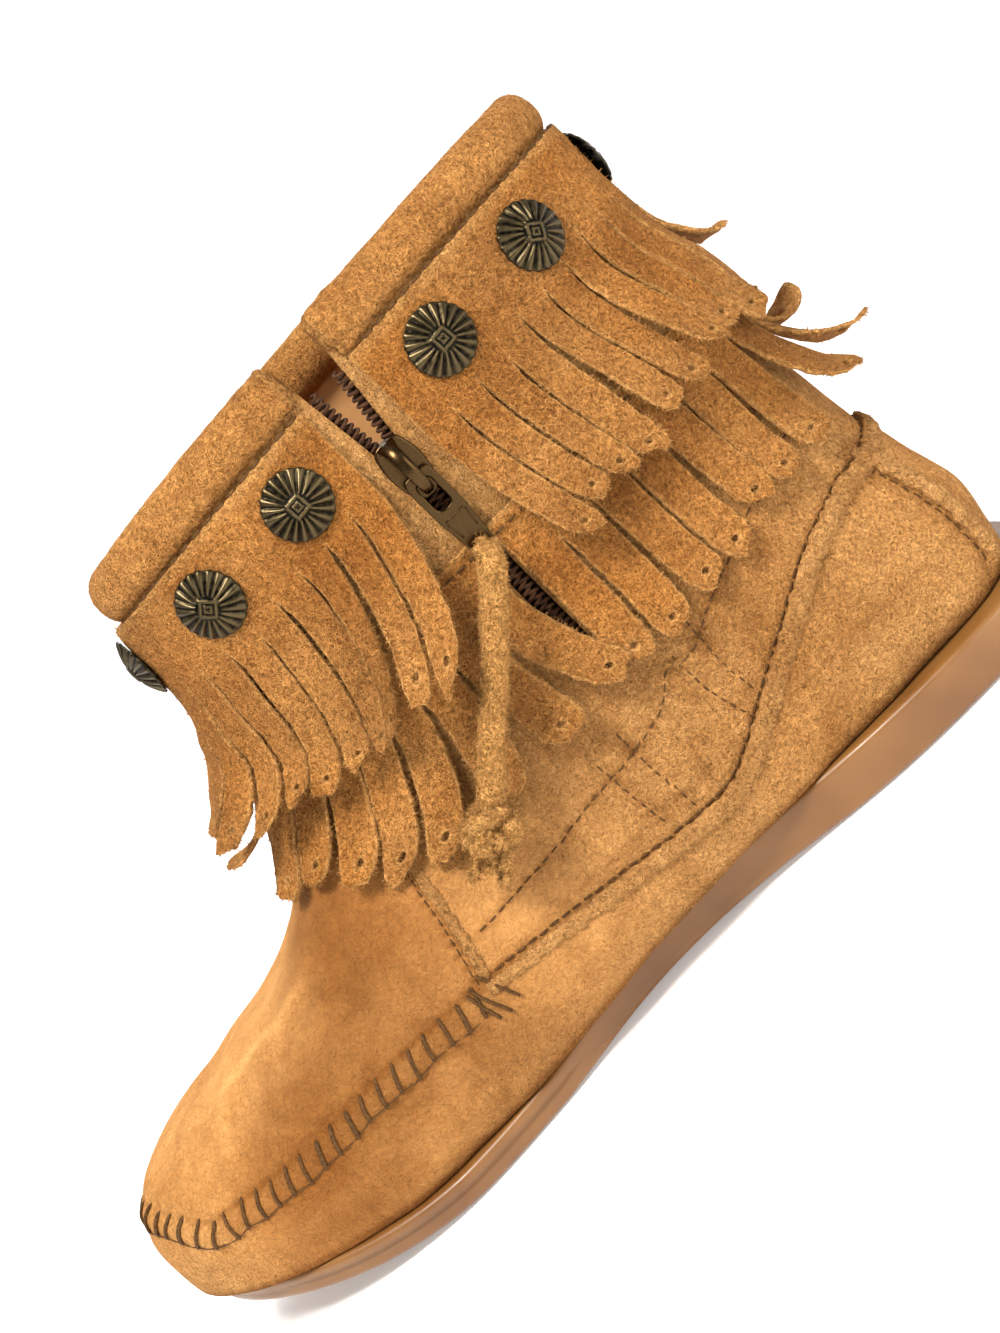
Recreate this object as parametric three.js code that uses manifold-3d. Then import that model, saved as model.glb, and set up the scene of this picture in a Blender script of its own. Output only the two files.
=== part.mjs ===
// Fringed moccasin ankle boot, right foot, in millimetres.
// The toe points along +X, the zip and the inner ankle along +Y, and the floor is Z = 0.
import * as THREE from 'three';
import Module from 'manifold-3d';
import { mergeVertices } from 'three/addons/utils/BufferGeometryUtils.js';

const wasm = await Module();
wasm.setup();

// Named sizes of the shoe
const LENGTH = 250;
const BALL_WIDTH = 88;
const INSTEP_HEIGHT = 84;
const HEEL_HEIGHT = 50;
const EDGE_HEIGHT = 148;
const EDGE_EXTEND = 12;
const COLLAR_ARCH = 1.6;
const LEATHER = 2;
const CLEARANCE = 0.3;
const FACET_TOLERANCE = 0.15;

// Outsole sizes
const SOLE_AT_HEEL = 11;
const SOLE_AT_BALL = 6.5;
const TOE_SPRING = 14;
const SOLE_CHAMFER = 1.6;
const TREAD_DEPTH = 1;
const TREAD_RIB = 7;
const TREAD_MARGIN = 8;
const INSOLE_THICKNESS = 3;
const LASTED_MARGIN = 12;

// Collar roll sizes
const ROLL_HEIGHT = 12.5;
const ROLL_THICKNESS = 10.4;
const ROLL_LAP = 4;
const ROLL_PROUD = 2.3;
const ROLL_SIDES = 9;
const ROLL_STEPS = 28;
const ROLL_RING = 140;

// Fringe sizes
const SUEDE = 1.5;
const SLIT = 1;
const FRINGE_GAP = 0.6;
const UPPER_GAP = 0.9;
const UPPER_STRIPS = 44;
const LOWER_STRIPS = 36;
const UPPER_BAND_DROP = 3.4;
const LOWER_BAND_TOP = 99;
const STRIP_REACH = 10;
const STRIP_WAVE = 1.6;
const SLIT_WAVE = 0.8;
const UPPER_END_GAP = 7;
const LOWER_END_GAP = 2.4;

// Zip sizes
const ZIP_X = 79;
const ZIP_BOTTOM = 58;
const ZIP_SLIT = 4;
const ZIP_OPEN = 10.5;
const SLIDER_Z = 118;
const ZIP_TOP = 142;
const SLIDER_HALF = 7;
const COIL_OVERLAP = 1;
const COIL_HALF = 1.7;
const COIL_EDGE = 1.4;
const TAPE_WIDTH = 10;
const TAPE_THICKNESS = 0.8;
const TAPE_GAP = 0.75;
const COIL_THICKNESS = 1.8;
const TAB_LENGTH = 21;
const TAB_WIDTH = 7;
const TAB_THICKNESS = 1.6;
const BRIDGE_WIDTH = 2.4;
const BAR_Z = -2.2;

// Thong and concho sizes
const THONG_RADIUS = 2.9;
const HOLE_RADIUS = 1.3;
const HOLE_UP = 3;
const CONCHO_RADIUS = 7.4;
const CONCHO_HEIGHT = 2.6;
const CONCHO_DROP = 11.2;
const CONCHO_SIDES = 14;

// Raised seams
const PIPING_RADIUS = 2;
const TOE_SEAM_RADIUS = 1.3;
const HEEL_SEAM_RADIUS = 1.4;
const HEEL_SEAM_TURN = 0.47;

// Sections of the last from the toe tip to the shaft's edge. Each row is one plane through the shoe.
// low and lowRise place its underside or back, high and highRise its top or front: low and high are
// shares of the length, lowRise is 0 to 1 up to the heel height and 1 to 2 up to the edge, highRise
// is 0 to 1 up to the instep height and 1 to 2 up to the edge. medial and lateral are half widths
// as shares of the ball width, waist is where the widest point lies, roundLow and roundHigh are the
// roundness of each half and swing is the sideways curve as a share of the ball width.
const LAST = [
  { low: 0.975, lowRise: 0.48, high: 0.975, highRise: 0.41, medial: 0.07, lateral: 0.06, waist: 0.5, roundLow: 2.0, roundHigh: 2.0, swing: 0.075 },
  { low: 0.963, lowRise: 0.28, high: 0.961, highRise: 0.47, medial: 0.18, lateral: 0.16, waist: 0.5, roundLow: 2.5, roundHigh: 2.2, swing: 0.070 },
  { low: 0.934, lowRise: 0.15, high: 0.941, highRise: 0.535, medial: 0.27, lateral: 0.25, waist: 0.46, roundLow: 2.9, roundHigh: 2.3, swing: 0.055 },
  { low: 0.880, lowRise: 0.02, high: 0.896, highRise: 0.58, medial: 0.37, lateral: 0.35, waist: 0.44, roundLow: 3.2, roundHigh: 2.4, swing: 0.035 },
  { low: 0.800, lowRise: -0.04, high: 0.816, highRise: 0.615, medial: 0.455, lateral: 0.445, waist: 0.42, roundLow: 3.2, roundHigh: 2.4, swing: 0.012 },
  { low: 0.712, lowRise: -0.06, high: 0.736, highRise: 0.66, medial: 0.495, lateral: 0.505, waist: 0.40, roundLow: 3.2, roundHigh: 2.4, swing: 0 },
  { low: 0.608, lowRise: -0.06, high: 0.672, highRise: 0.77, medial: 0.49, lateral: 0.52, waist: 0.36, roundLow: 3.0, roundHigh: 2.3, swing: -0.01 },
  { low: 0.496, lowRise: -0.04, high: 0.640, highRise: 0.88, medial: 0.465, lateral: 0.49, waist: 0.33, roundLow: 2.8, roundHigh: 2.2, swing: -0.01 },
  { low: 0.368, lowRise: 0.00, high: 0.620, highRise: 1.00, medial: 0.425, lateral: 0.45, waist: 0.32, roundLow: 2.7, roundHigh: 2.2, swing: 0 },
  { low: 0.232, lowRise: 0.04, high: 0.608, highRise: 1.13, medial: 0.40, lateral: 0.415, waist: 0.34, roundLow: 3.2, roundHigh: 2.2, swing: 0 },
  { low: 0.104, lowRise: 0.10, high: 0.600, highRise: 1.22, medial: 0.39, lateral: 0.395, waist: 0.38, roundLow: 3.4, roundHigh: 2.3, swing: 0 },
  { low: 0.014, lowRise: 0.16, high: 0.596, highRise: 1.28, medial: 0.385, lateral: 0.385, waist: 0.46, roundLow: 3.0, roundHigh: 2.4, swing: 0 },
  { low: -0.012, lowRise: 0.42, high: 0.594, highRise: 1.33, medial: 0.38, lateral: 0.375, waist: 0.54, roundLow: 2.4, roundHigh: 2.5, swing: 0 },
  { low: -0.008, lowRise: 0.70, high: 0.592, highRise: 1.375, medial: 0.385, lateral: 0.375, waist: 0.57, roundLow: 2.0, roundHigh: 2.6, swing: 0 },
  { low: 0.010, lowRise: 1.00, high: 0.592, highRise: 1.44, medial: 0.385, lateral: 0.37, waist: 0.60, roundLow: 2.0, roundHigh: 2.7, swing: 0 },
  { low: 0.024, lowRise: 1.19, high: 0.592, highRise: 1.52, medial: 0.39, lateral: 0.365, waist: 0.62, roundLow: 2.0, roundHigh: 2.7, swing: 0 },
  { low: 0.032, lowRise: 1.43, high: 0.592, highRise: 1.63, medial: 0.40, lateral: 0.36, waist: 0.62, roundLow: 2.0, roundHigh: 2.7, swing: 0 },
  { low: 0.037, lowRise: 1.70, high: 0.590, highRise: 1.74, medial: 0.41, lateral: 0.36, waist: 0.62, roundLow: 2.0, roundHigh: 2.7, swing: 0 },
  { low: 0.042, lowRise: 2.00, high: 0.583, highRise: 1.845, medial: 0.42, lateral: 0.36, waist: 0.62, roundLow: 2.0, roundHigh: 2.7, swing: 0 },
];
const EDGE_ROW = LAST.length - 1;
const SHAFT_FRONT_ROW = 3;
const SHAFT_BACK_ROW = 9;

// Outline of the outsole: along is a share of the length, medial and lateral are the two edges as
// shares of the ball width, measured from the shoe's centre line.
const SOLE_OUTLINE = [
  { along: -0.024, medial: 0.07, lateral: 0.07 },
  { along: -0.019, medial: 0.17, lateral: 0.17 },
  { along: -0.004, medial: 0.255, lateral: 0.255 },
  { along: 0.036, medial: 0.335, lateral: 0.335 },
  { along: 0.110, medial: 0.382, lateral: 0.382 },
  { along: 0.200, medial: 0.385, lateral: 0.392 },
  { along: 0.300, medial: 0.335, lateral: 0.400 },
  { along: 0.400, medial: 0.310, lateral: 0.415 },
  { along: 0.500, medial: 0.345, lateral: 0.450 },
  { along: 0.600, medial: 0.435, lateral: 0.488 },
  { along: 0.700, medial: 0.495, lateral: 0.500 },
  { along: 0.790, medial: 0.475, lateral: 0.452 },
  { along: 0.870, medial: 0.400, lateral: 0.352 },
  { along: 0.920, medial: 0.310, lateral: 0.220 },
  { along: 0.949, medial: 0.225, lateral: 0.100 },
  { along: 0.963, medial: 0.150, lateral: 0.010 },
];

// Heights along the sole: under is the lift off the floor as a share of the toe spring, thick is
// the share between the ball thickness (0) and the heel thickness (1).
const SOLE_HEIGHTS = [
  { along: -0.03, under: 0.0, thick: 1.0 },
  { along: 0.25, under: 0.0, thick: 0.98 },
  { along: 0.34, under: 0.08, thick: 0.72 },
  { along: 0.46, under: 0.12, thick: 0.34 },
  { along: 0.56, under: 0.04, thick: 0.10 },
  { along: 0.60, under: 0.0, thick: 0.04 },
  { along: 0.65, under: 0.0, thick: 0.0 },
  { along: 0.70, under: 0.0, thick: 0.0 },
  { along: 0.76, under: 0.09, thick: -0.01 },
  { along: 0.82, under: 0.27, thick: -0.04 },
  { along: 0.88, under: 0.54, thick: -0.12 },
  { along: 0.93, under: 0.80, thick: -0.22 },
  { along: 0.965, under: 1.0, thick: -0.30 },
];

// Piped seam between the shaft and the lower quarter, and the seam round the toe, both seen from
// the side: along is a share of the length, rise a share of the heel height.
const QUARTER_SEAM = [
  { along: 0.572, rise: 0.61 },
  { along: 0.458, rise: 0.53 },
  { along: 0.370, rise: 0.465 },
  { along: 0.308, rise: 0.455 },
  { along: 0.246, rise: 0.61 },
  { along: 0.190, rise: 0.77 },
  { along: 0.133, rise: 0.91 },
  { along: 0.070, rise: 0.99 },
];
const TOE_SEAM = [
  { along: 0.580, rise: 0.60 },
  { along: 0.640, rise: 0.615 },
  { along: 0.700, rise: 0.62 },
  { along: 0.760, rise: 0.615 },
  { along: 0.830, rise: 0.615 },
  { along: 0.893, rise: 0.64 },
  { along: 0.928, rise: 0.69 },
];
const TOE_SEAM_FRONT = { along: 0.958, rise: 0.80 };

// Fringe strips. around is the share of the way round the shaft, from the zip over the front, the
// outer side and the back to the zip again. slit and tip are heights as shares of the edge height.
// drift is the tip's way along the shaft toward the toe side, lift its distance off the shaft and
// curl how far the tip turns back up, all three as shares of the strip's reach.
const UPPER_FRINGE = [
  { around: 0.02, slit: 0.8041, tip: 0.5946, drift: 0.3, lift: 0.3, curl: 0 },
  { around: 0.06, slit: 0.7973, tip: 0.5541, drift: 0.6, lift: 0.3, curl: 0 },
  { around: 0.12, slit: 0.7973, tip: 0.5405, drift: 0.7, lift: 0.4, curl: 0 },
  { around: 0.17, slit: 0.7973, tip: 0.5405, drift: 0.6, lift: 0.6, curl: 0 },
  { around: 0.21, slit: 0.7973, tip: 0.5541, drift: 0.4, lift: 1, curl: 0 },
  { around: 0.27, slit: 0.7905, tip: 0.5541, drift: 0, lift: 0.9, curl: 0 },
  { around: 0.34, slit: 0.7973, tip: 0.5541, drift: -0.4, lift: 0.6, curl: 0 },
  { around: 0.50, slit: 0.8108, tip: 0.5676, drift: -0.5, lift: 0.3, curl: 0 },
  { around: 0.66, slit: 0.8243, tip: 0.5878, drift: -0.3, lift: 0.2, curl: 0 },
  { around: 0.76, slit: 0.8378, tip: 0.6081, drift: -0.3, lift: 0.3, curl: 0 },
  { around: 0.80, slit: 0.8446, tip: 0.5946, drift: -0.4, lift: 0.3, curl: 0 },
  { around: 0.86, slit: 0.8378, tip: 0.6014, drift: -0.45, lift: 0.4, curl: 0 },
  { around: 0.92, slit: 0.8041, tip: 0.5811, drift: -0.45, lift: 0.3, curl: 0 },
  { around: 0.98, slit: 0.8041, tip: 0.5676, drift: -0.65, lift: 0.3, curl: 0 },
];
const LOWER_FRINGE = [
  { around: 0.01, slit: 0.5946, tip: 0.3851, drift: -0.22, lift: 0.05, curl: 0 },
  { around: 0.08, slit: 0.5946, tip: 0.3514, drift: 0.1, lift: 0.05, curl: 0 },
  { around: 0.13, slit: 0.6014, tip: 0.3851, drift: 0.1, lift: 0.1, curl: 0 },
  { around: 0.16, slit: 0.6014, tip: 0.4257, drift: 0.1, lift: 0.2, curl: 0 },
  { around: 0.22, slit: 0.6081, tip: 0.4662, drift: 0, lift: 0.15, curl: 0 },
  { around: 0.28, slit: 0.6081, tip: 0.4662, drift: 0, lift: 0.15, curl: 0 },
  { around: 0.34, slit: 0.6014, tip: 0.4054, drift: -0.3, lift: 0.1, curl: 0 },
  { around: 0.45, slit: 0.5946, tip: 0.3649, drift: -0.1, lift: 0.05, curl: 0 },
  { around: 0.60, slit: 0.5946, tip: 0.3784, drift: 0, lift: 0.05, curl: 0 },
  { around: 0.70, slit: 0.6081, tip: 0.4054, drift: 0, lift: 0.1, curl: 0 },
  { around: 0.76, slit: 0.6216, tip: 0.4459, drift: 0, lift: 0.6, curl: 0 },
  { around: 0.84, slit: 0.6149, tip: 0.4054, drift: 0, lift: 0.1, curl: 0 },
  { around: 0.94, slit: 0.5946, tip: 0.3784, drift: 0, lift: 0.05, curl: 0 },
  { around: 0.99, slit: 0.5946, tip: 0.3784, drift: 0.2, lift: 0.05, curl: 0 },
];

// Single strips that stand away from their neighbours: strip is the number counted from the zip
// toward the toe, the other columns replace the values of the tables above.
const UPPER_CURLS = [
  { strip: 0, tip: 0.5676, drift: 1.1, lift: 1.2, curl: 0 },
  { strip: 1, tip: 0.5811, drift: 0.9, lift: 0.8, curl: 0 },
  { strip: 33, tip: 0.6216, drift: -0.6, lift: 1.3, curl: 1.1 },
  { strip: 37, tip: 0.6081, drift: -0.2, lift: 1.2, curl: 0.2 },
];
const LOWER_CURLS = [
  { strip: 26, tip: 0.4459, drift: -0.2, lift: 2, curl: 1.4 },
  { strip: 27, tip: 0.4189, drift: -0.4, lift: 1.5, curl: 0.3 },
  { strip: 28, tip: 0.4122, drift: -0.3, lift: 1.2, curl: 0.2 },
];

// Hand placed line of the suede thong, from the hole of the pull tab to its knot, and its two
// frayed ends beyond the knot: along is toward the toe, out is away from the shaft.
const THONG = [
  { along: 0, out: 4, down: 0 },
  { along: 2, out: 5.4, down: 3.5 },
  { along: 8, out: 6.2, down: 10.5 },
  { along: 19, out: 6.6, down: 21.5 },
  { along: 30, out: 6.4, down: 32 },
  { along: 38, out: 6.2, down: 40 },
];
const THONG_ENDS = [
  { along: 11, out: 0.4, down: 7 },
  { along: 7.5, out: -0.6, down: 12 },
];

// Places of the conchos: around as a share of the way round the shaft, raise as a share of the drop
const CONCHO_PLACES = [
  { around: 0.058, raise: 0 },
  { around: 0.134, raise: 0.0357 },
  { around: 0.222, raise: 0.2232 },
  { around: 0.325, raise: 0.0893 },
  { around: 0.430, raise: 0 },
  { around: 0.535, raise: 0 },
  { around: 0.640, raise: 0 },
  { around: 0.745, raise: 0.0893 },
  { around: 0.852, raise: 0 },
  { around: 0.935, raise: 0 },
];

const SMOOTH = (rows, key, columns) => (value) => {
  let i = 0;
  while (i < rows.length - 2 && rows[i + 1][key] <= value) {
    i += 1;
  }
  const span = rows[i + 1][key] - rows[i][key];
  const f = Math.min(Math.max((value - rows[i][key]) / span, 0), 1);
  const slope = (k, column) => {
    const a = rows[Math.max(k - 1, 0)];
    const b = rows[Math.min(k + 1, rows.length - 1)];
    return (b[column] - a[column]) / (b[key] - a[key]);
  };
  const out = {};
  for (const column of columns) {
    const p = rows[i][column];
    const q = rows[i + 1][column];
    const m = slope(i, column) * span;
    const n = slope(i + 1, column) * span;
    out[column] = p + f * (m + f * (3 * (q - p) - 2 * m - n + f * (2 * (p - q) + m + n)));
  }
  return out;
};
const LAST_COLUMNS = Object.keys(LAST[0]);
const LAST_ROWS = LAST.map((row, number) => ({ ...row, number }));
const lastAt = SMOOTH(LAST_ROWS, 'number', LAST_COLUMNS);
const outlineAt = SMOOTH(SOLE_OUTLINE, 'along', ['medial', 'lateral']);
const heightsAt = SMOOTH(SOLE_HEIGHTS, 'along', ['under', 'thick']);

const blend = (a, b, f) => a + (b - a) * f;
const riseTo = (share, middle) => (
  share <= 1 ? share * middle : blend(middle, EDGE_HEIGHT, share - 1)
);

// A point on the outside of the last. row counts the sections, turn is the angle round one of
// them: 0 is the inner side, a quarter turn the top or front, three quarters the underside or back.
function lastPoint(row, turn) {
  const r = lastAt(Math.min(Math.max(row, 0), EDGE_ROW));
  const over = Math.max(row - EDGE_ROW, 0);
  const lowX = r.low * LENGTH;
  const highX = r.high * LENGTH;
  const lowZ = riseTo(r.lowRise, HEEL_HEIGHT);
  const highZ = riseTo(r.highRise, INSTEP_HEIGHT);
  const deep = Math.hypot(highX - lowX, highZ - lowZ);
  const dx = (highX - lowX) / deep;
  const dz = (highZ - lowZ) / deep;
  const c = Math.cos(turn);
  const s = Math.sin(turn);
  const power = 2 / (s >= 0 ? r.roundHigh : r.roundLow);
  const wide = (c >= 0 ? r.medial : r.lateral) * BALL_WIDTH;
  const tall = (s >= 0 ? 1 - r.waist : r.waist) * deep;
  const across = wide * Math.sign(c) * Math.abs(c) ** power;
  const along = r.waist * deep + tall * Math.sign(s) * Math.abs(s) ** power;
  const lift = over * EDGE_EXTEND + COLLAR_ARCH * c * c * Math.max(0, row - EDGE_ROW + 1) ** 2;
  return new THREE.Vector3(
    lowX + dx * along - dz * lift,
    r.swing * BALL_WIDTH + across,
    lowZ + dz * along + dx * lift,
  );
}

// The same point moved along the surface's own normal, outward for a positive distance
function lastOffset(row, turn, distance) {
  const step = 0.02;
  const a = Math.max(row, step);
  const alongRow = lastPoint(a + step, turn).sub(lastPoint(a - step, turn));
  const round = lastPoint(row, turn + step).sub(lastPoint(row, turn - step));
  const normal = alongRow.cross(round).normalize();
  return lastPoint(row, turn).addScaledVector(normal, distance);
}

// Where a height lies on the shaft for a given turn
function shaftRow(turn, z) {
  let low = blend(SHAFT_FRONT_ROW, SHAFT_BACK_ROW, Math.max(0, -Math.sin(turn)));
  let high = EDGE_ROW + 1;
  for (let k = 0; k < 26; k += 1) {
    const mid = (low + high) / 2;
    if (lastPoint(mid, turn).z < z) {
      low = mid;
    } else {
      high = mid;
    }
  }
  return low;
}

// Level rings of the shaft. A place on a ring is a share from the zip over the front, the outer
// side and the back to the zip again; the four anchors keep the same share at every height.
const RING_STEP = 5;
const RING_TURNS = 144;
const RING_FIRST = -1.2;
const rings = new Map();
const REFERENCE_HEIGHT = 110;
function ringAt(z) {
  if (!rings.has(z)) {
    const points = [];
    for (let k = 0; k <= RING_TURNS; k += 1) {
      const turn = (k / RING_TURNS) * 2 * Math.PI + RING_FIRST;
      points.push({ turn, p: lastPoint(shaftRow(turn, z), turn), s: 0 });
    }
    for (let k = 1; k < points.length; k += 1) {
      const a = points[k - 1].p;
      const b = points[k].p;
      points[k].s = points[k - 1].s + Math.hypot(a.x - b.x, a.y - b.y);
    }
    const girth = points[RING_TURNS].s;
    const marks = [];
    for (let k = 1; k < points.length; k += 1) {
      const a = points[k - 1];
      const b = points[k];
      const forward = b.p.y > 0 && a.p.x <= ZIP_X && b.p.x > ZIP_X;
      const backward = b.p.y < 0 && a.p.x > ZIP_X && b.p.x <= ZIP_X;
      if (forward || backward) {
        marks[forward ? 0 : 2] = blend(a.s, b.s, (ZIP_X - a.p.x) / (b.p.x - a.p.x));
      }
      for (const [mark, at] of [[1, Math.PI / 2], [3, 1.5 * Math.PI]]) {
        if (a.turn < at && b.turn >= at) {
          marks[mark] = blend(a.s, b.s, (at - a.turn) / (b.turn - a.turn));
        }
      }
    }
    marks.push(marks[0] + girth);
    rings.set(z, { points, girth, marks });
  }
  return rings.get(z);
}
function turnOnRing(ring, around) {
  const reference = ringAt(REFERENCE_HEIGHT);
  const shares = reference.marks.map((mark) => (mark - reference.marks[0]) / reference.girth);
  const wrapped = around - Math.floor(around);
  let part = 0;
  while (part < 3 && wrapped > shares[part + 1]) {
    part += 1;
  }
  const inside = (wrapped - shares[part]) / (shares[part + 1] - shares[part]);
  let s = blend(ring.marks[part], ring.marks[part + 1], inside);
  let whole = Math.floor(around) * 2 * Math.PI;
  while (s > ring.girth) {
    s -= ring.girth;
    whole += 2 * Math.PI;
  }
  let k = 1;
  while (k < ring.points.length - 1 && ring.points[k].s < s) {
    k += 1;
  }
  const a = ring.points[k - 1];
  const b = ring.points[k];
  return whole + blend(a.turn, b.turn, (s - a.s) / (b.s - a.s));
}
function shaftPoint(around, z, distance) {
  const level = Math.floor(z / RING_STEP) * RING_STEP;
  const turn = blend(
    turnOnRing(ringAt(level), around),
    turnOnRing(ringAt(level + RING_STEP), around),
    (z - level) / RING_STEP,
  );
  return lastOffset(shaftRow(turn, z), turn, distance);
}
const GIRTH = ringAt(REFERENCE_HEIGHT).girth;

// A point of the last found from its place in the side view, on the inner or the outer side
function sideSpot(x, z, side) {
  let best = { row: 8, turn: 0, error: Infinity };
  let rowSpan = EDGE_ROW / 2;
  let turnSpan = Math.PI / 2;
  let centre = { row: EDGE_ROW / 2, turn: side > 0 ? 0 : Math.PI };
  for (let round = 0; round < 7; round += 1) {
    for (let i = -12; i <= 12; i += 1) {
      for (let j = -12; j <= 12; j += 1) {
        const row = Math.min(Math.max(centre.row + (i / 12) * rowSpan, 0.2), EDGE_ROW);
        const turn = centre.turn + (j / 12) * turnSpan;
        const p = lastPoint(row, turn);
        const error = (p.x - x) ** 2 + (p.z - z) ** 2;
        if (error < best.error && p.y * side > -8) {
          best = { row, turn, error };
        }
      }
    }
    centre = best;
    rowSpan *= 0.3;
    turnSpan *= 0.3;
  }
  return best;
}

// Solids from rings of points, with flat fans or triangulated ends
function meshSolid(points, faces) {
  let volume = 0;
  for (const [a, b, c] of faces) {
    volume += points[a].dot(points[b].clone().cross(points[c]));
  }
  const order = volume >= 0 ? faces : faces.map(([a, b, c]) => [a, c, b]);
  const geometry = new THREE.BufferGeometry();
  geometry.setAttribute('position', new THREE.Float32BufferAttribute(
    points.flatMap((p) => [p.x, p.y, p.z]), 3,
  ));
  geometry.setIndex(order.flat());
  return geometry;
}
function loft(sections) {
  const count = sections[0].length;
  const points = sections.flat();
  const faces = [];
  for (let i = 0; i + 1 < sections.length; i += 1) {
    for (let j = 0; j < count; j += 1) {
      const a = i * count + j;
      const b = i * count + ((j + 1) % count);
      faces.push([a, b, b + count], [a, b + count, a + count]);
    }
  }
  for (const end of [0, sections.length - 1]) {
    const centre = new THREE.Vector3();
    sections[end].forEach((p) => centre.addScaledVector(p, 1 / count));
    const hub = points.push(centre) - 1;
    for (let j = 0; j < count; j += 1) {
      const a = end * count + j;
      const b = end * count + ((j + 1) % count);
      faces.push(end === 0 ? [b, a, hub] : [a, b, hub]);
    }
  }
  return meshSolid(points, faces);
}
function sweep(sections, profile) {
  const count = profile.length;
  const points = sections.flat();
  const faces = [];
  for (let i = 0; i + 1 < sections.length; i += 1) {
    for (let j = 0; j < count; j += 1) {
      const a = i * count + j;
      const b = i * count + ((j + 1) % count);
      faces.push([a, b, b + count], [a, b + count, a + count]);
    }
  }
  const last = (sections.length - 1) * count;
  for (const [a, b, c] of THREE.ShapeUtils.triangulateShape(profile, [])) {
    faces.push([c, b, a], [a + last, b + last, c + last]);
  }
  return meshSolid(points, faces);
}
// A sheet with a front and a back for every point; open edges get a wall
function sheetSolid(front, back, faces) {
  const shift = front.length;
  const all = [];
  const edges = new Map();
  for (const [a, b, c] of faces) {
    all.push([a, b, c], [c + shift, b + shift, a + shift]);
    for (const [p, q] of [[a, b], [b, c], [c, a]]) {
      edges.set(`${p}_${q}`, [p, q]);
    }
  }
  for (const [p, q] of edges.values()) {
    if (!edges.has(`${q}_${p}`)) {
      all.push([q, p, p + shift], [q, p + shift, q + shift]);
    }
  }
  return meshSolid([...front, ...back], all);
}
function toManifold(geometry) {
  const bare = geometry.clone();
  bare.deleteAttribute('normal');
  bare.deleteAttribute('uv');
  const merged = mergeVertices(bare, 1e-4);
  return new wasm.Manifold(new wasm.Mesh({
    numProp: 3,
    vertProperties: new Float32Array(merged.attributes.position.array),
    triVerts: new Uint32Array(merged.index.array),
  }));
}
function toGeometry(solid) {
  const mesh = solid.getMesh();
  const geometry = new THREE.BufferGeometry();
  geometry.setAttribute('position', new THREE.BufferAttribute(mesh.vertProperties, 3));
  geometry.setIndex(new THREE.BufferAttribute(mesh.triVerts, 1));
  return geometry;
}

// A tube along a line of points, as a solid for joining or for a cord
function tube(points, radius, sides, steps) {
  const curve = new THREE.CatmullRomCurve3(points);
  const shape = new THREE.Shape();
  for (let k = 0; k < sides; k += 1) {
    const angle = ((k + 0.5) / sides) * 2 * Math.PI;
    const x = Math.cos(angle) * radius;
    const y = Math.sin(angle) * radius;
    if (k === 0) {
      shape.moveTo(x, y);
    } else {
      shape.lineTo(x, y);
    }
  }
  shape.closePath();
  return new THREE.ExtrudeGeometry(shape, { steps, bevelEnabled: false, extrudePath: curve });
}
function prism(outline, depth, place) {
  const shape = new THREE.Shape(outline.map(([x, y]) => new THREE.Vector2(x, y)));
  const geometry = new THREE.ExtrudeGeometry(shape, { depth, bevelEnabled: false });
  geometry.applyMatrix4(place);
  return geometry;
}

// Sole heights and outline at a length x
const soleUnder = (x) => Math.max(0, heightsAt(x / LENGTH).under) * TOE_SPRING;
const soleTop = (x) => (
  soleUnder(x) + blend(SOLE_AT_BALL, SOLE_AT_HEEL, heightsAt(x / LENGTH).thick)
);
const SOLE_START = SOLE_OUTLINE[0].along * LENGTH;
const SOLE_END = SOLE_OUTLINE[SOLE_OUTLINE.length - 1].along * LENGTH;

const SOLE_STATIONS = 27;
function soleStations(inset) {
  const stations = [];
  for (let i = 0; i <= SOLE_STATIONS; i += 1) {
    const f = (1 - Math.cos((i / SOLE_STATIONS) * Math.PI)) / 2;
    stations.push(blend(SOLE_START + inset, SOLE_END - inset, f));
  }
  return stations;
}
function soleSections(inset, low, high) {
  const sections = [];
  for (const x of soleStations(inset)) {
    const edge = outlineAt(x / LENGTH);
    const left = edge.medial * BALL_WIDTH - inset;
    const right = -edge.lateral * BALL_WIDTH + inset;
    const z0 = low(x);
    const z1 = high(x);
    const cut = inset === 0 ? SOLE_CHAMFER : 0;
    const ring = inset === 0 ? [
      [right + cut, z0], [left - cut, z0], [left, z0 + cut], [left, z1 - cut / 2],
      [left - cut / 2, z1], [right + cut / 2, z1], [right, z1 - cut / 2], [right, z0 + cut],
    ] : [[right, z0], [left, z0], [left, z1], [right, z1]];
    sections.push(ring.map(([y, z]) => new THREE.Vector3(x, y, z)));
  }
  return sections;
}
function outsole() {
  let solid = toManifold(loft(soleSections(0, soleUnder, soleTop)));
  const tread = toManifold(loft(
    soleSections(TREAD_MARGIN, (x) => soleUnder(x) - 5, (x) => soleUnder(x) + TREAD_DEPTH),
  ));
  for (let x = 14; x < LENGTH * 0.9; x += 2 * TREAD_RIB) {
    const waist = x > LENGTH * 0.29 && x < LENGTH * 0.54;
    if (!waist) {
      const groove = prism(
        [[x, -60], [x + TREAD_RIB * 0.55, -60], [x + TREAD_RIB * 0.55, 60], [x, 60]],
        40,
        new THREE.Matrix4().makeTranslation(0, 0, -20),
      );
      solid = solid.subtract(tread.intersect(toManifold(groove)));
    }
  }
  return toGeometry(solid);
}

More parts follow.
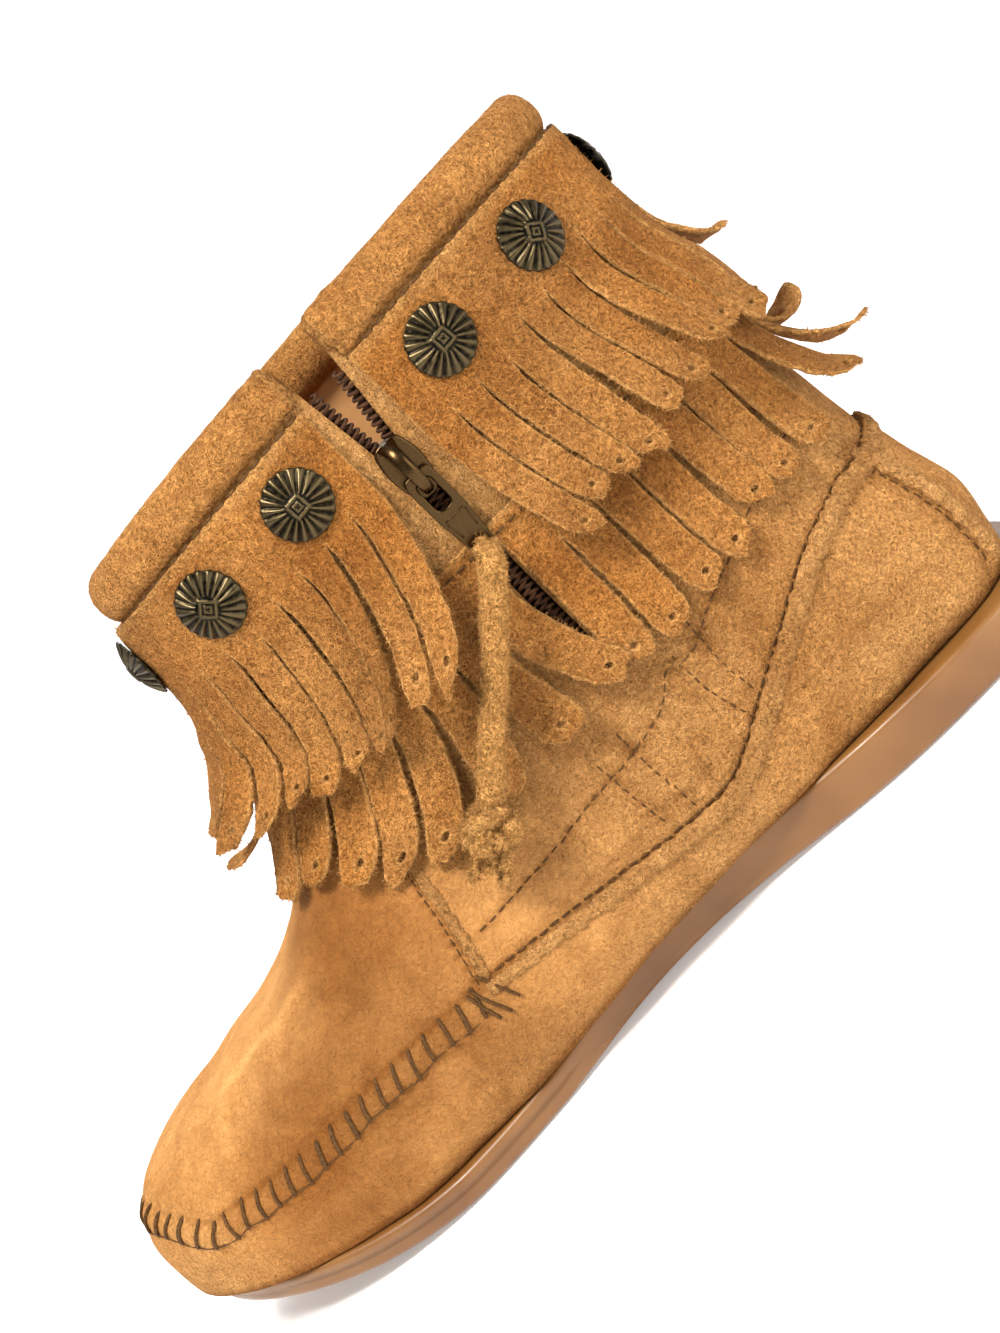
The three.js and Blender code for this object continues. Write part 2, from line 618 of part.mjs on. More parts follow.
// A slab between two heights that follow the sole
function slab(low, high) {
  const sections = [];
  for (const x of [SOLE_START - 30, ...soleStations(0), SOLE_END + 30]) {
    sections.push([[-90, low(x)], [90, low(x)], [90, high(x)], [-90, high(x)]]
      .map(([y, z]) => new THREE.Vector3(x, y, z)));
  }
  return toManifold(loft(sections));
}
const MARGIN_UNDER = (x) => soleTop(x) + CLEARANCE;
const MARGIN_TOP = (x) => MARGIN_UNDER(x) + LEATHER;
const INSOLE_UNDER = (x) => MARGIN_TOP(x) + CLEARANCE;
const INSOLE_TOP = (x) => INSOLE_UNDER(x) + INSOLE_THICKNESS;
const FAR_UP = () => 400;
const FAR_DOWN = () => -100;

const OUTER_MESH = { first: 0, last: EDGE_ROW, count: 34, around: 32 };
const INNER_MESH = { first: 0.8, last: EDGE_ROW + 1, count: 20, around: 24 };
function bodyLoft(distance, { first, last, count, around }, above = 0) {
  const sections = [];
  for (let i = 0; i <= count + (above > 0 ? 1 : 0); i += 1) {
    const row = i > count ? last + above : blend(first, last, i / count);
    const ring = [];
    for (let j = 0; j < around; j += 1) {
      ring.push(lastOffset(row, (j / around) * 2 * Math.PI, distance));
    }
    sections.push(ring);
  }
  return toManifold(loft(sections));
}
const seamPoint = (along, rise, side, distance) => {
  const spot = sideSpot(along * LENGTH, rise * HEEL_HEIGHT, side);
  return lastOffset(spot.row, spot.turn, distance);
};
function seamLines() {
  const quarter = [];
  const toe = [];
  for (const { along, rise } of QUARTER_SEAM) {
    quarter.push(seamPoint(along, rise, 1, 0));
  }
  quarter.push(lastOffset(14.1, 1.5 * Math.PI, 0));
  for (const { along, rise } of [...QUARTER_SEAM].reverse()) {
    quarter.push(seamPoint(along, rise, -1, 0));
  }
  for (const { along, rise } of TOE_SEAM) {
    toe.push(seamPoint(along, rise, 1, 0));
  }
  const front = sideSpot(TOE_SEAM_FRONT.along * LENGTH, TOE_SEAM_FRONT.rise * HEEL_HEIGHT, 1);
  toe.push(lastOffset(front.row, front.turn, 0));
  const across = lastOffset(front.row, Math.PI - front.turn, 0);
  toe.push(across);
  for (const { along, rise } of [...TOE_SEAM].reverse()) {
    toe.push(seamPoint(along, rise, -1, 0));
  }
  const heel = [];
  for (let k = 0; k <= 6; k += 1) {
    heel.push(lastOffset(blend(11.3, 13.9, k / 6), 1.5 * Math.PI + HEEL_SEAM_TURN, 0));
  }
  return { quarter, toe, heel };
}
const zipHalf = (z) => {
  const f = Math.max(0, (z - SLIDER_Z + 2) / (EDGE_HEIGHT - SLIDER_Z));
  return blend(ZIP_SLIT, ZIP_OPEN, Math.min(f, 1.2)) / 2;
};
function zipCut() {
  const right = [];
  const left = [];
  const levels = [0, 0.5, 0.8125, 1.6875].map((f) => blend(SLIDER_Z - 2, EDGE_HEIGHT, f));
  for (const z of [ZIP_BOTTOM, ...levels]) {
    right.push([ZIP_X + zipHalf(z), z]);
    left.unshift([ZIP_X - zipHalf(z), z]);
  }
  const flip = new THREE.Matrix4().makeRotationX(Math.PI / 2);
  const place = new THREE.Matrix4().makeTranslation(0, 90, 0).multiply(flip);
  return toManifold(prism([...right, ...left], 80, place));
}
function upper() {
  const lines = seamLines();
  let solid = bodyLoft(0, OUTER_MESH);
  solid = solid.add(toManifold(tube(lines.quarter, PIPING_RADIUS, 5, 34)));
  solid = solid.add(toManifold(tube(lines.toe, TOE_SEAM_RADIUS, 4, 28)));
  solid = solid.add(toManifold(tube(lines.heel, HEEL_SEAM_RADIUS, 4, 4)));
  solid = solid.subtract(slab(FAR_DOWN, MARGIN_UNDER));
  const inside = bodyLoft(-LEATHER, INNER_MESH);
  const hollow = inside.intersect(slab(MARGIN_TOP, FAR_UP));
  solid = solid.subtract(hollow);
  const opening = toManifold(loft(soleSections(LASTED_MARGIN, FAR_DOWN, () => 30)));
  solid = solid.subtract(opening.intersect(slab(FAR_DOWN, INSOLE_UNDER)));
  return toGeometry(solid.subtract(zipCut()).simplify(FACET_TOLERANCE));
}
function insole() {
  const inside = bodyLoft(-LEATHER - CLEARANCE * 2, INNER_MESH);
  const solid = inside.intersect(slab(INSOLE_UNDER, INSOLE_TOP));
  const keep = toManifold(loft(soleSections(1.5, FAR_DOWN, () => 60)));
  return toGeometry(solid.intersect(keep).simplify(FACET_TOLERANCE));
}

// Padded roll with a slot that takes the shaft's edge
function collarRoll() {
  const half = ROLL_HEIGHT / 2;
  const wide = ROLL_THICKNESS / 2;
  const centreOut = LEATHER / 2 + ROLL_PROUD - wide;
  const centreUp = half - ROLL_LAP;
  const profile = [];
  for (let k = 0; k < ROLL_SIDES; k += 1) {
    const angle = ((k + 0.5) / ROLL_SIDES) * 2 * Math.PI;
    profile.push(new THREE.Vector2(
      centreOut + wide * Math.cos(angle),
      centreUp + half * Math.sin(angle),
    ));
  }
  const sections = [];
  const ring = ringAt(ROLL_RING);
  const gap = (ZIP_OPEN / 2 + CLEARANCE) / ring.girth;
  for (let k = 0; k <= ROLL_STEPS; k += 1) {
    const turn = turnOnRing(ring, blend(gap, 1 - gap, k / ROLL_STEPS));
    const centre = lastOffset(EDGE_ROW, turn, -LEATHER / 2);
    const out = lastOffset(EDGE_ROW, turn, 0).sub(centre).normalize();
    const along = lastPoint(EDGE_ROW, turn + 0.01).sub(lastPoint(EDGE_ROW, turn - 0.01)).normalize();
    const up = out.clone().cross(along).normalize();
    if (up.z < 0) {
      up.negate();
    }
    sections.push(profile.map(({ x, y }) => (
      centre.clone().addScaledVector(out, x).addScaledVector(up, y)
    )));
  }
  const edge = bodyLoft(CLEARANCE, OUTER_MESH, CLEARANCE / EDGE_EXTEND)
    .subtract(bodyLoft(-LEATHER - CLEARANCE, INNER_MESH));
  return toGeometry(toManifold(sweep(sections, profile)).subtract(edge));
}

// Fringe: one sheet with a whole band above and strips below
function tableAt(rows, around) {
  let i = 0;
  while (i < rows.length - 2 && rows[i + 1].around <= around) {
    i += 1;
  }
  const f = Math.min(Math.max(
    (around - rows[i].around) / (rows[i + 1].around - rows[i].around), 0,
  ), 1);
  const out = {};
  for (const key of Object.keys(rows[i])) {
    out[key] = blend(rows[i][key], rows[i + 1][key], f);
  }
  return out;
}
function fringe(options) {
  const { strips, rows, curls, bandTop, under, edge } = options;
  const front = [];
  const back = [];
  const faces = [];
  const start = edge / GIRTH;
  const pitch = (1 - 2 * start) / strips;
  const half = SLIT / 2 / GIRTH;
  const add = (around, z, lift) => {
    const base = under(z) + lift;
    back.push(shaftPoint(around, z, base));
    return front.push(shaftPoint(around, z, base + SUEDE)) - 1;
  };
  const quad = (a, b, c, d) => {
    faces.push([a, b, c], [a, c, d]);
  };
  let before = null;
  for (let k = 0; k < strips; k += 1) {
    const left = start + k * pitch + (k > 0 ? half : 0);
    const right = start + (k + 1) * pitch - (k + 1 < strips ? half : 0);
    const middle = (left + right) / 2;
    const wave = Math.sin(k * 2.3) + 0.6 * Math.sin(k * 5.1 + 1);
    const row = tableAt(rows, middle);
    row.tip += (wave * STRIP_WAVE) / EDGE_HEIGHT;
    row.slit += (wave * SLIT_WAVE) / EDGE_HEIGHT;
    const own = curls.find(({ strip }) => strip === k);
    if (own) {
      Object.assign(row, own);
    }
    const slit = row.slit * EDGE_HEIGHT;
    const tip = row.tip * EDGE_HEIGHT;
    const ends = [left, right].map((around) => {
      return [bandTop(around), slit].map((z) => add(around, z, 0));
    });
    const [a, b] = ends;
    quad(a[0], b[0], b[1], a[1]);
    if (before) {
      quad(before[0], a[0], a[1], before[1]);
    }
    before = b;
    let last = [a[1], b[1]];
    for (const s of [0.5, 0.88, 1]) {
      const narrow = s === 1 ? 0.36 : 1;
      const z = slit + (tip - slit) * s + row.curl * STRIP_REACH * s ** 4;
      const shift = ((row.drift * STRIP_REACH) / GIRTH) * s ** 1.6;
      const lift = row.lift * STRIP_REACH * s ** 1.8;
      const halfWidth = ((right - left) / 2) * narrow;
      const next = [
        add(middle + shift - halfWidth, z, lift),
        add(middle + shift + halfWidth, z, lift),
      ];
      quad(last[0], last[1], next[1], next[0]);
      last = next;
    }
  }
  return sheetSolid(front, back, faces);
}
const smoothstep = (a, b, value) => {
  const f = Math.min(Math.max((value - a) / (b - a), 0), 1);
  return f * f * (3 - 2 * f);
};
const edgeHeight = (around) => (
  lastPoint(EDGE_ROW, turnOnRing(ringAt(ROLL_RING), around)).z
);
const upperBandTop = (around) => edgeHeight(around) - UPPER_BAND_DROP;
const lowerBandTop = () => LOWER_BAND_TOP;
const underUpper = (z) => UPPER_GAP + (SUEDE + FRINGE_GAP) * smoothstep(118, 101, z);
const underLower = () => FRINGE_GAP;

// Zip parts, built in a frame that lies on the shaft: x toward the toe, y outward, z up
function zipTangent(z) {
  const ahead = shaftPoint(0.01, z, 0).sub(shaftPoint(-0.01, z, 0));
  return ahead.multiplyScalar(1 / ahead.x);
}
function zipPoint(x, z, distance) {
  return shaftPoint(0, z, distance).addScaledVector(zipTangent(z), x);
}
function zipFrame() {
  const centre = zipPoint(0, SLIDER_Z, -LEATHER / 2);
  const up = zipPoint(0, SLIDER_Z + 8, 0).sub(zipPoint(0, SLIDER_Z - 16, 0)).normalize();
  const toe = zipTangent(SLIDER_Z);
  toe.addScaledVector(up, -toe.dot(up)).normalize();
  const out = up.clone().cross(toe).normalize();
  return new THREE.Matrix4().makeBasis(toe, out, up).setPosition(centre);
}
function zipTape() {
  const front = [];
  const back = [];
  const faces = [];
  const levels = [];
  const top = EDGE_HEIGHT - ROLL_LAP - 8;
  const bottom = ZIP_BOTTOM - 4;
  const count = 8;
  for (let k = 0; k <= count; k += 1) {
    levels.push(blend(bottom, top, k / count));
  }
  levels.forEach((z, k) => {
    const open = Math.max(zipHalf(z) - COIL_EDGE, 0.6);
    for (const arc of [-TAPE_WIDTH - open, -open, open, TAPE_WIDTH + open]) {
      const around = arc / GIRTH;
      front.push(shaftPoint(around, z, -LEATHER - TAPE_GAP));
      back.push(shaftPoint(around, z, -LEATHER - TAPE_GAP - TAPE_THICKNESS));
    }
    if (k > 0) {
      for (let j = 0; j < 3; j += 1) {
        const closed = j !== 1 || z < SLIDER_Z;
        if (closed) {
          const a = (k - 1) * 4 + j;
          faces.push([a, a + 1, a + 5], [a, a + 5, a + 4]);
        }
      }
    }
  });
  return sheetSolid(front, back, faces);
}
function coil(low, high, count, offset, half) {
  const sections = [];
  const profile = [
    [-1, 0], [1, 0], [1, 0.6], [0.55, 1], [-0.55, 1], [-1, 0.6],
  ].map(([x, y]) => new THREE.Vector2(x, y));
  for (let k = 0; k <= count; k += 1) {
    const z = blend(low, high, k / count);
    sections.push(profile.map(({ x, y }) => {
      return zipPoint(offset(z) + x * half, z, y * COIL_THICKNESS - LEATHER);
    }));
  }
  return sweep(sections, profile);
}
const SLIDER_BASE = LEATHER / 2 + CLEARANCE;
const SLIDER_PLATE = 1.6;
const TAB_OUT = SLIDER_BASE + SLIDER_PLATE + 1.2;
function zipSlider() {
  const plate = prism(
    [[-2.6, -7], [2.6, -7], [4.2, -3], [4.6, 2], [3.4, 7], [-3.4, 7], [-4.6, 2], [-4.2, -3]],
    SLIDER_PLATE,
    new THREE.Matrix4().makeRotationX(Math.PI / 2).setPosition(0, SLIDER_BASE + SLIDER_PLATE, 0),
  );
  const top = SLIDER_BASE + SLIDER_PLATE;
  const place = new THREE.Matrix4().makeBasis(
    new THREE.Vector3(0, 1, 0), new THREE.Vector3(0, 0, 1), new THREE.Vector3(1, 0, 0),
  ).setPosition(-BRIDGE_WIDTH / 2, 0, 0);
  const arch = prism(
    [
      [top - 0.5, -5.8], [top + 3, -5.8], [top + 3.9, -4.6], [top + 3.9, 3], [top + 2.6, 5.6],
      [top - 0.5, 6.6], [top - 0.5, 3.6], [top + 1.6, 3.2], [top + 2.5, 2], [top + 2.5, -3.6],
      [top + 2, -4.2], [top - 0.5, -4.2],
    ],
    BRIDGE_WIDTH,
    place,
  );
  return toGeometry(toManifold(plate).add(toManifold(arch)));
}
function pullTab() {
  const end = BAR_Z - TAB_LENGTH;
  const place = new THREE.Matrix4().makeRotationX(Math.PI / 2)
    .setPosition(0, TAB_OUT + TAB_THICKNESS / 2, 0);
  const shape = new THREE.Shape([
    [-3, BAR_Z + 0.8], [-TAB_WIDTH / 2, BAR_Z - 1], [-TAB_WIDTH / 2, BAR_Z - 9],
    [-2.5, end + 1.2], [-1.6, end], [1.6, end], [2.5, end + 1.2],
    [TAB_WIDTH / 2, BAR_Z - 9], [TAB_WIDTH / 2, BAR_Z - 1], [3, BAR_Z + 0.8],
  ].map(([x, y]) => new THREE.Vector2(x, y)));
  const hole = (points) => {
    shape.holes.push(new THREE.Path(points.map(([x, y]) => new THREE.Vector2(x, y))));
  };
  hole([
    [-1.8, BAR_Z - 0.8], [1.8, BAR_Z - 0.8], [1.8, BAR_Z - 7.6], [0.9, BAR_Z - 8.6],
    [-0.9, BAR_Z - 8.6], [-1.8, BAR_Z - 7.6],
  ]);
  const ring = [];
  for (let k = 0; k < 8; k += 1) {
    const angle = (k * Math.PI) / 4;
    ring.push([Math.cos(angle) * HOLE_RADIUS, end + HOLE_UP + Math.sin(angle) * HOLE_RADIUS]);
  }
  hole(ring);
  const geometry = new THREE.ExtrudeGeometry(shape, { depth: TAB_THICKNESS, bevelEnabled: false });
  geometry.applyMatrix4(place);
  return geometry;
}
function thong() {
  const frame = zipFrame();
  const holeZ = BAR_Z - TAB_LENGTH + HOLE_UP;
  const local = (x, y, z) => new THREE.Vector3(x, y, z).applyMatrix4(frame);
  const neck = tube([
    local(0, TAB_OUT - 2.2, holeZ - 0.2),
    local(0, TAB_OUT, holeZ),
    local(0, TAB_OUT + 4, holeZ),
  ], HOLE_RADIUS - CLEARANCE, 8, 2);
  const points = THONG.map(({ along, out, down }) => local(along, TAB_OUT + out, holeZ - down));
  const solid = toManifold(tube(points, THONG_RADIUS, 8, 10)).add(toManifold(neck));
  const centre = points[points.length - 1];
  const knot = new THREE.SphereGeometry(1, 8, 6);
  knot.scale(6, 4.6, 5.4);
  knot.translate(centre.x + 1, centre.y, centre.z - 1);
  const frayed = THONG_ENDS.map(({ along, out, down }) => toManifold(tube([
    centre.clone(),
    centre.clone().add(new THREE.Vector3(along * 0.5, out, -down * 0.35)),
    centre.clone().add(new THREE.Vector3(along, out, -down)),
  ], THONG_RADIUS * 0.68, 8, 2)));
  const joined = frayed.reduce((sum, part) => sum.add(part), solid.add(toManifold(knot)));
  return toGeometry(joined.simplify(FACET_TOLERANCE));
}
function concho({ around, raise }) {
  const height = upperBandTop(around) - CONCHO_DROP * (1 - raise);
  const seat = UPPER_GAP + SUEDE + CLEARANCE;
  const base = shaftPoint(around, height, seat);
  const tip = shaftPoint(around, height, seat + 5);
  const profile = [
    [0, 0], [CONCHO_RADIUS, 0], [CONCHO_RADIUS, 0.5], [CONCHO_RADIUS * 0.68, 1.8],
    [0, CONCHO_HEIGHT],
  ].map(([x, y]) => new THREE.Vector2(x, y));
  const geometry = new THREE.LatheGeometry(profile, CONCHO_SIDES);
  const turn = new THREE.Quaternion().setFromUnitVectors(
    new THREE.Vector3(0, 1, 0), tip.sub(base).normalize(),
  );
  geometry.applyQuaternion(turn);
  geometry.translate(base.x, base.y, base.z);
  return geometry;
}

const suede = () => new THREE.MeshStandardMaterial({ color: 0xc8925a, roughness: 0.95, metalness: 0 });
const rubber = () => new THREE.MeshStandardMaterial({ color: 0xa8743f, roughness: 0.55, metalness: 0 });
const lining = () => new THREE.MeshStandardMaterial({ color: 0xcfae82, roughness: 0.8, metalness: 0 });
const cloth = () => new THREE.MeshStandardMaterial({ color: 0x33221a, roughness: 0.9, metalness: 0 });
const brass = () => new THREE.MeshStandardMaterial({ color: 0x5a4a30, roughness: 0.4, metalness: 0.8 });

const boot = new THREE.Group();
boot.name = 'moccasin_boot';
function place(name, geometry, material) {
  const mesh = new THREE.Mesh(geometry, material);
  mesh.name = name;
  boot.add(mesh);
}
place('outsole', outsole(), rubber());
place('insole', insole(), lining());
place('upper', upper(), suede());
place('collar_roll', collarRoll(), suede());
place('fringe_upper', fringe({
  strips: UPPER_STRIPS,
  rows: UPPER_FRINGE,
  curls: UPPER_CURLS,
  bandTop: upperBandTop,
  under: underUpper,
  edge: UPPER_END_GAP,
}), suede());
place('fringe_lower', fringe({
  strips: LOWER_STRIPS,
  rows: LOWER_FRINGE,
  curls: LOWER_CURLS,
  bandTop: lowerBandTop,
  under: underLower,
  edge: LOWER_END_GAP,
}), suede());
place('zip_tape', zipTape(), cloth());
const COIL_START = SLIDER_Z + SLIDER_HALF - COIL_OVERLAP;
place('zip_coil_closed', coil(ZIP_BOTTOM + 0.5, SLIDER_Z - 1, 8, () => 0, COIL_HALF), cloth());
place('zip_coil_front', coil(COIL_START, ZIP_TOP, 5, (z) => zipHalf(z) - COIL_EDGE, 1), cloth());
place('zip_coil_rear', coil(COIL_START, ZIP_TOP, 5, (z) => COIL_EDGE - zipHalf(z), 1), cloth());
const onShaft = zipFrame();
const slider = zipSlider();
slider.applyMatrix4(onShaft);
place('zip_slider', slider, brass());
const tab = pullTab();
tab.applyMatrix4(onShaft);
place('zip_pull_tab', tab, brass());
place('pull_thong', thong(), suede());
CONCHO_PLACES.forEach((spot, k) => {
  place(`concho_${k + 1}`, concho(spot), brass());
});

export default boot;
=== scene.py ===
import math

import bpy
import numpy as np
from mathutils import Matrix, Vector, kdtree
from mathutils.geometry import delaunay_2d_cdt


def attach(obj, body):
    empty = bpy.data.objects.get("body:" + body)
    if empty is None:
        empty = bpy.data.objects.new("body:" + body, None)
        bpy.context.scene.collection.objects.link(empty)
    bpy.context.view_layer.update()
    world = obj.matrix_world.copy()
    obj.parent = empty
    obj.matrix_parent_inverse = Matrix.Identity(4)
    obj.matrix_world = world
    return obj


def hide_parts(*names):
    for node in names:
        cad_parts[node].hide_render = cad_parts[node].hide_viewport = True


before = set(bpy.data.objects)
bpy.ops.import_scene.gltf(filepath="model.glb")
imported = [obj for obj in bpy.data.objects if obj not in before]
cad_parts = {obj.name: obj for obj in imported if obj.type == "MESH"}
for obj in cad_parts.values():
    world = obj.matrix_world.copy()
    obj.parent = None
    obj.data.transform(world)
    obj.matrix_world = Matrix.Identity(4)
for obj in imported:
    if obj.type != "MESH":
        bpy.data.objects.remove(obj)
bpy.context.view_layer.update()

MM = 0.001
TURN = 2 * math.pi

# Named sizes of the shoe, in millimetres
LENGTH = 250
BALL_WIDTH = 88
INSTEP_HEIGHT = 84
HEEL_HEIGHT = 50
EDGE_HEIGHT = 148
EDGE_EXTEND = 12
COLLAR_ARCH = 1.6
LEATHER = 2.0
SOLE_AT_HEEL = 11
SOLE_AT_BALL = 6.5
TOE_SPRING = 14
TREAD_DEPTH = 1
TREAD_RIB = 7
TREAD_MARGIN = 8
ROLL_HEIGHT = 12.5
ROLL_THICKNESS = 10.4
ROLL_LAP = 4
ROLL_PROUD = 2.3
SUEDE = 1.5
ZIP_X = 79
ZIP_BOTTOM = 58
ZIP_SLIT = 4
ZIP_OPEN = 10.5
SLIDER_Z = 118
LOWER_BAND_TOP = 99.0
REFERENCE_HEIGHT = 110
ROLL_RING_HEIGHT = 140

# Sections of the last from the toe up to the edge of the shaft: low and high end with their rises, width to
# the inner and outer side, waist, roundness below and above it, and swing to the inner side
LAST = np.array([
    [0.975, 0.48, 0.975, 0.41, 0.07, 0.06, 0.5, 2.0, 2.0, 0.075],
    [0.963, 0.28, 0.961, 0.47, 0.18, 0.16, 0.5, 2.5, 2.2, 0.070],
    [0.934, 0.15, 0.941, 0.535, 0.27, 0.25, 0.46, 2.9, 2.3, 0.055],
    [0.880, 0.02, 0.896, 0.58, 0.37, 0.35, 0.44, 3.2, 2.4, 0.035],
    [0.800, -0.04, 0.816, 0.615, 0.455, 0.445, 0.42, 3.2, 2.4, 0.012],
    [0.712, -0.06, 0.736, 0.66, 0.495, 0.505, 0.40, 3.2, 2.4, 0],
    [0.608, -0.06, 0.672, 0.77, 0.49, 0.52, 0.36, 3.0, 2.3, -0.01],
    [0.496, -0.04, 0.640, 0.88, 0.465, 0.49, 0.33, 2.8, 2.2, -0.01],
    [0.368, 0.00, 0.620, 1.00, 0.425, 0.45, 0.32, 2.7, 2.2, 0],
    [0.232, 0.04, 0.608, 1.13, 0.40, 0.415, 0.34, 3.2, 2.2, 0],
    [0.104, 0.10, 0.600, 1.22, 0.39, 0.395, 0.38, 3.4, 2.3, 0],
    [0.014, 0.16, 0.596, 1.28, 0.385, 0.385, 0.46, 3.0, 2.4, 0],
    [-0.012, 0.42, 0.594, 1.33, 0.38, 0.375, 0.54, 2.4, 2.5, 0],
    [-0.008, 0.70, 0.592, 1.375, 0.385, 0.375, 0.57, 2.0, 2.6, 0],
    [0.010, 1.00, 0.592, 1.44, 0.385, 0.37, 0.60, 2.0, 2.7, 0],
    [0.024, 1.19, 0.592, 1.52, 0.39, 0.365, 0.62, 2.0, 2.7, 0],
    [0.032, 1.43, 0.592, 1.63, 0.40, 0.36, 0.62, 2.0, 2.7, 0],
    [0.037, 1.70, 0.590, 1.74, 0.41, 0.36, 0.62, 2.0, 2.7, 0],
    [0.042, 2.00, 0.583, 1.845, 0.42, 0.36, 0.62, 2.0, 2.7, 0],
])
EDGE_ROW = len(LAST) - 1

# Outsole: along as a share of the length, the two edges as shares of the ball width
SOLE_OUTLINE = np.array([
    [-0.024, 0.07, 0.07], [-0.019, 0.17, 0.17], [-0.004, 0.255, 0.255], [0.036, 0.335, 0.335],
    [0.110, 0.382, 0.382], [0.200, 0.385, 0.392], [0.300, 0.335, 0.400], [0.400, 0.310, 0.415],
    [0.500, 0.345, 0.450], [0.600, 0.435, 0.488], [0.700, 0.495, 0.500], [0.790, 0.475, 0.452],
    [0.870, 0.400, 0.352], [0.920, 0.310, 0.220], [0.949, 0.225, 0.100], [0.963, 0.150, 0.010],
])
# Lift off the floor as a share of the toe spring, thickness from ball (0) to heel (1)
SOLE_HEIGHTS = np.array([
    [-0.03, 0.0, 1.0], [0.25, 0.0, 0.98], [0.34, 0.08, 0.72], [0.46, 0.12, 0.34],
    [0.56, 0.04, 0.10], [0.60, 0.0, 0.04], [0.65, 0.0, 0.0], [0.70, 0.0, 0.0],
    [0.76, 0.09, -0.01], [0.82, 0.27, -0.04], [0.88, 0.54, -0.12], [0.93, 0.80, -0.22],
    [0.965, 1.0, -0.30],
])
QUARTER_SEAM = [
    (0.572, 0.61), (0.458, 0.53), (0.370, 0.465), (0.308, 0.455),
    (0.246, 0.61), (0.190, 0.77), (0.133, 0.91), (0.070, 0.99),
]
TOE_SEAM = [
    (0.580, 0.60), (0.640, 0.615), (0.700, 0.62), (0.760, 0.615),
    (0.830, 0.615), (0.893, 0.64), (0.928, 0.69),
]
TOE_SEAM_FRONT = (0.958, 0.80)

# Fringe strips round the shaft: place, height of slit and tip, drift to the toe and lift of the tip
UPPER_FRINGE = np.array([
    [0.02, 119, 88, 3, 3], [0.06, 118, 82, 6, 3], [0.12, 118, 80, 7, 4],
    [0.17, 118, 80, 6, 6], [0.21, 118, 82, 4, 10], [0.27, 117, 82, 0, 9],
    [0.34, 118, 82, -4, 6], [0.50, 120, 84, -5, 3], [0.66, 122, 87, -3, 2],
    [0.76, 124, 90, -3, 3], [0.80, 125, 88, -4, 3], [0.86, 124, 89, -4.5, 4],
    [0.92, 119, 86, -4.5, 3], [0.98, 119, 84, -6.5, 3],
])
LOWER_FRINGE = np.array([
    [0.01, 88, 57, -2.2, 0.5], [0.08, 88, 52, 1, 0.5], [0.13, 89, 57, 1, 1],
    [0.16, 89, 63, 1, 2], [0.22, 90, 69, 0, 1.5], [0.28, 90, 69, 0, 1.5],
    [0.34, 89, 60, -3, 1], [0.45, 88, 54, -1, 0.5], [0.60, 88, 56, 0, 0.5],
    [0.70, 90, 60, 0, 1], [0.76, 92, 66, 0, 6], [0.84, 91, 60, 0, 1],
    [0.94, 88, 56, 0, 0.5], [0.99, 88, 56, 2, 0.5],
])
# Single strips that stand away, by number: height of the tip, drift, lift and upward curl
UPPER_CURLS = {
    0: (84, 11, 12, 0), 1: (86, 9, 9, 0), 2: (85, 11, 9, 0), 33: (92, -6, 13, 11), 37: (90, -2, 12, 2),
}
LOWER_CURLS = {
    0: (58, -10, 3.2, 0), 1: (56, -7, 1.6, 0), 2: (55, -4, 1.0, 0), 9: (66, 4, 12, 4),
    26: (66, -2, 20, 14), 27: (62, -4, 15, 3), 28: (61, -3, 12, 2), 35: (57, 1.5, 0.8, 0),
}
# Strips of the upper fringe that turn edge on: twist and share of the width
UPPER_TWISTS = {2: (3.0, 0.35)}
CONCHO_PLACES = [
    (0.058, 0), (0.134, 0.4), (0.222, 2.5), (0.325, 1), (0.430, 0),
    (0.535, 0), (0.640, 0), (0.745, 1), (0.852, 0), (0.935, 0),
]


# Small helpers for numbers
def mix(a, b, f):
    return a + (b - a) * f


def smoothstep(a, b, value):
    f = np.clip((value - a) / (b - a), 0, 1)
    return f * f * (3 - 2 * f)


def bell(x, width):
    return np.exp(-(x / width) ** 2)


def arc_lengths(points):
    """Distance along a line of points, from its first."""
    return np.concatenate([[0], np.cumsum(np.linalg.norm(np.diff(points, axis=0), axis=1))])


def bisect(low, high, steps, below):
    """The place where below turns false, between low and high."""
    for _ in range(steps):
        middle = (low + high) / 2
        less = below(middle)
        low = np.where(less, middle, low)
        high = np.where(less, high, middle)
    return low


def unit(v):
    return v / np.maximum(np.linalg.norm(v, axis=-1, keepdims=True), 1e-12)


def hermite(keys, rows, value):
    """Smooth curve through the rows of a table, at their keys."""
    value = np.asarray(value, float)
    i = np.clip(np.searchsorted(keys, value, side="right") - 1, 0, len(keys) - 2)
    span = keys[i + 1] - keys[i]
    f = np.clip((value - keys[i]) / span, 0, 1)[..., None]

    def slope(k):
        a = np.maximum(k - 1, 0)
        b = np.minimum(k + 1, len(keys) - 1)
        return (rows[b] - rows[a]) / (keys[b] - keys[a])[..., None]

    p = rows[i]
    q = rows[i + 1]
    m = slope(i) * span[..., None]
    n = slope(i + 1) * span[..., None]
    return p + f * (m + f * (3 * (q - p) - 2 * m - n + f * (2 * (p - q) + m + n)))


def ripple(points, size, seed):
    """Seeded soft unevenness of about height 1, from waves of about the given size."""
    rng = np.random.default_rng(seed)
    total = np.zeros(len(points))
    weight = 0
    for octave in range(2):
        for _ in range(6):
            k = unit(rng.normal(size=3)) * (TURN / size) * 2 ** octave * rng.uniform(0.7, 1.3)
            total += np.sin(points @ k + rng.uniform(0, TURN)) / 2 ** octave
        weight += 1 / 4 ** octave
    return total / math.sqrt(3 * weight)


# The last
def rise_to(share, middle):
    """Height from a share: up to 1 it counts to the middle, up to 2 on to the shaft's edge."""
    return np.where(share <= 1, share * middle, mix(middle, EDGE_HEIGHT, share - 1))


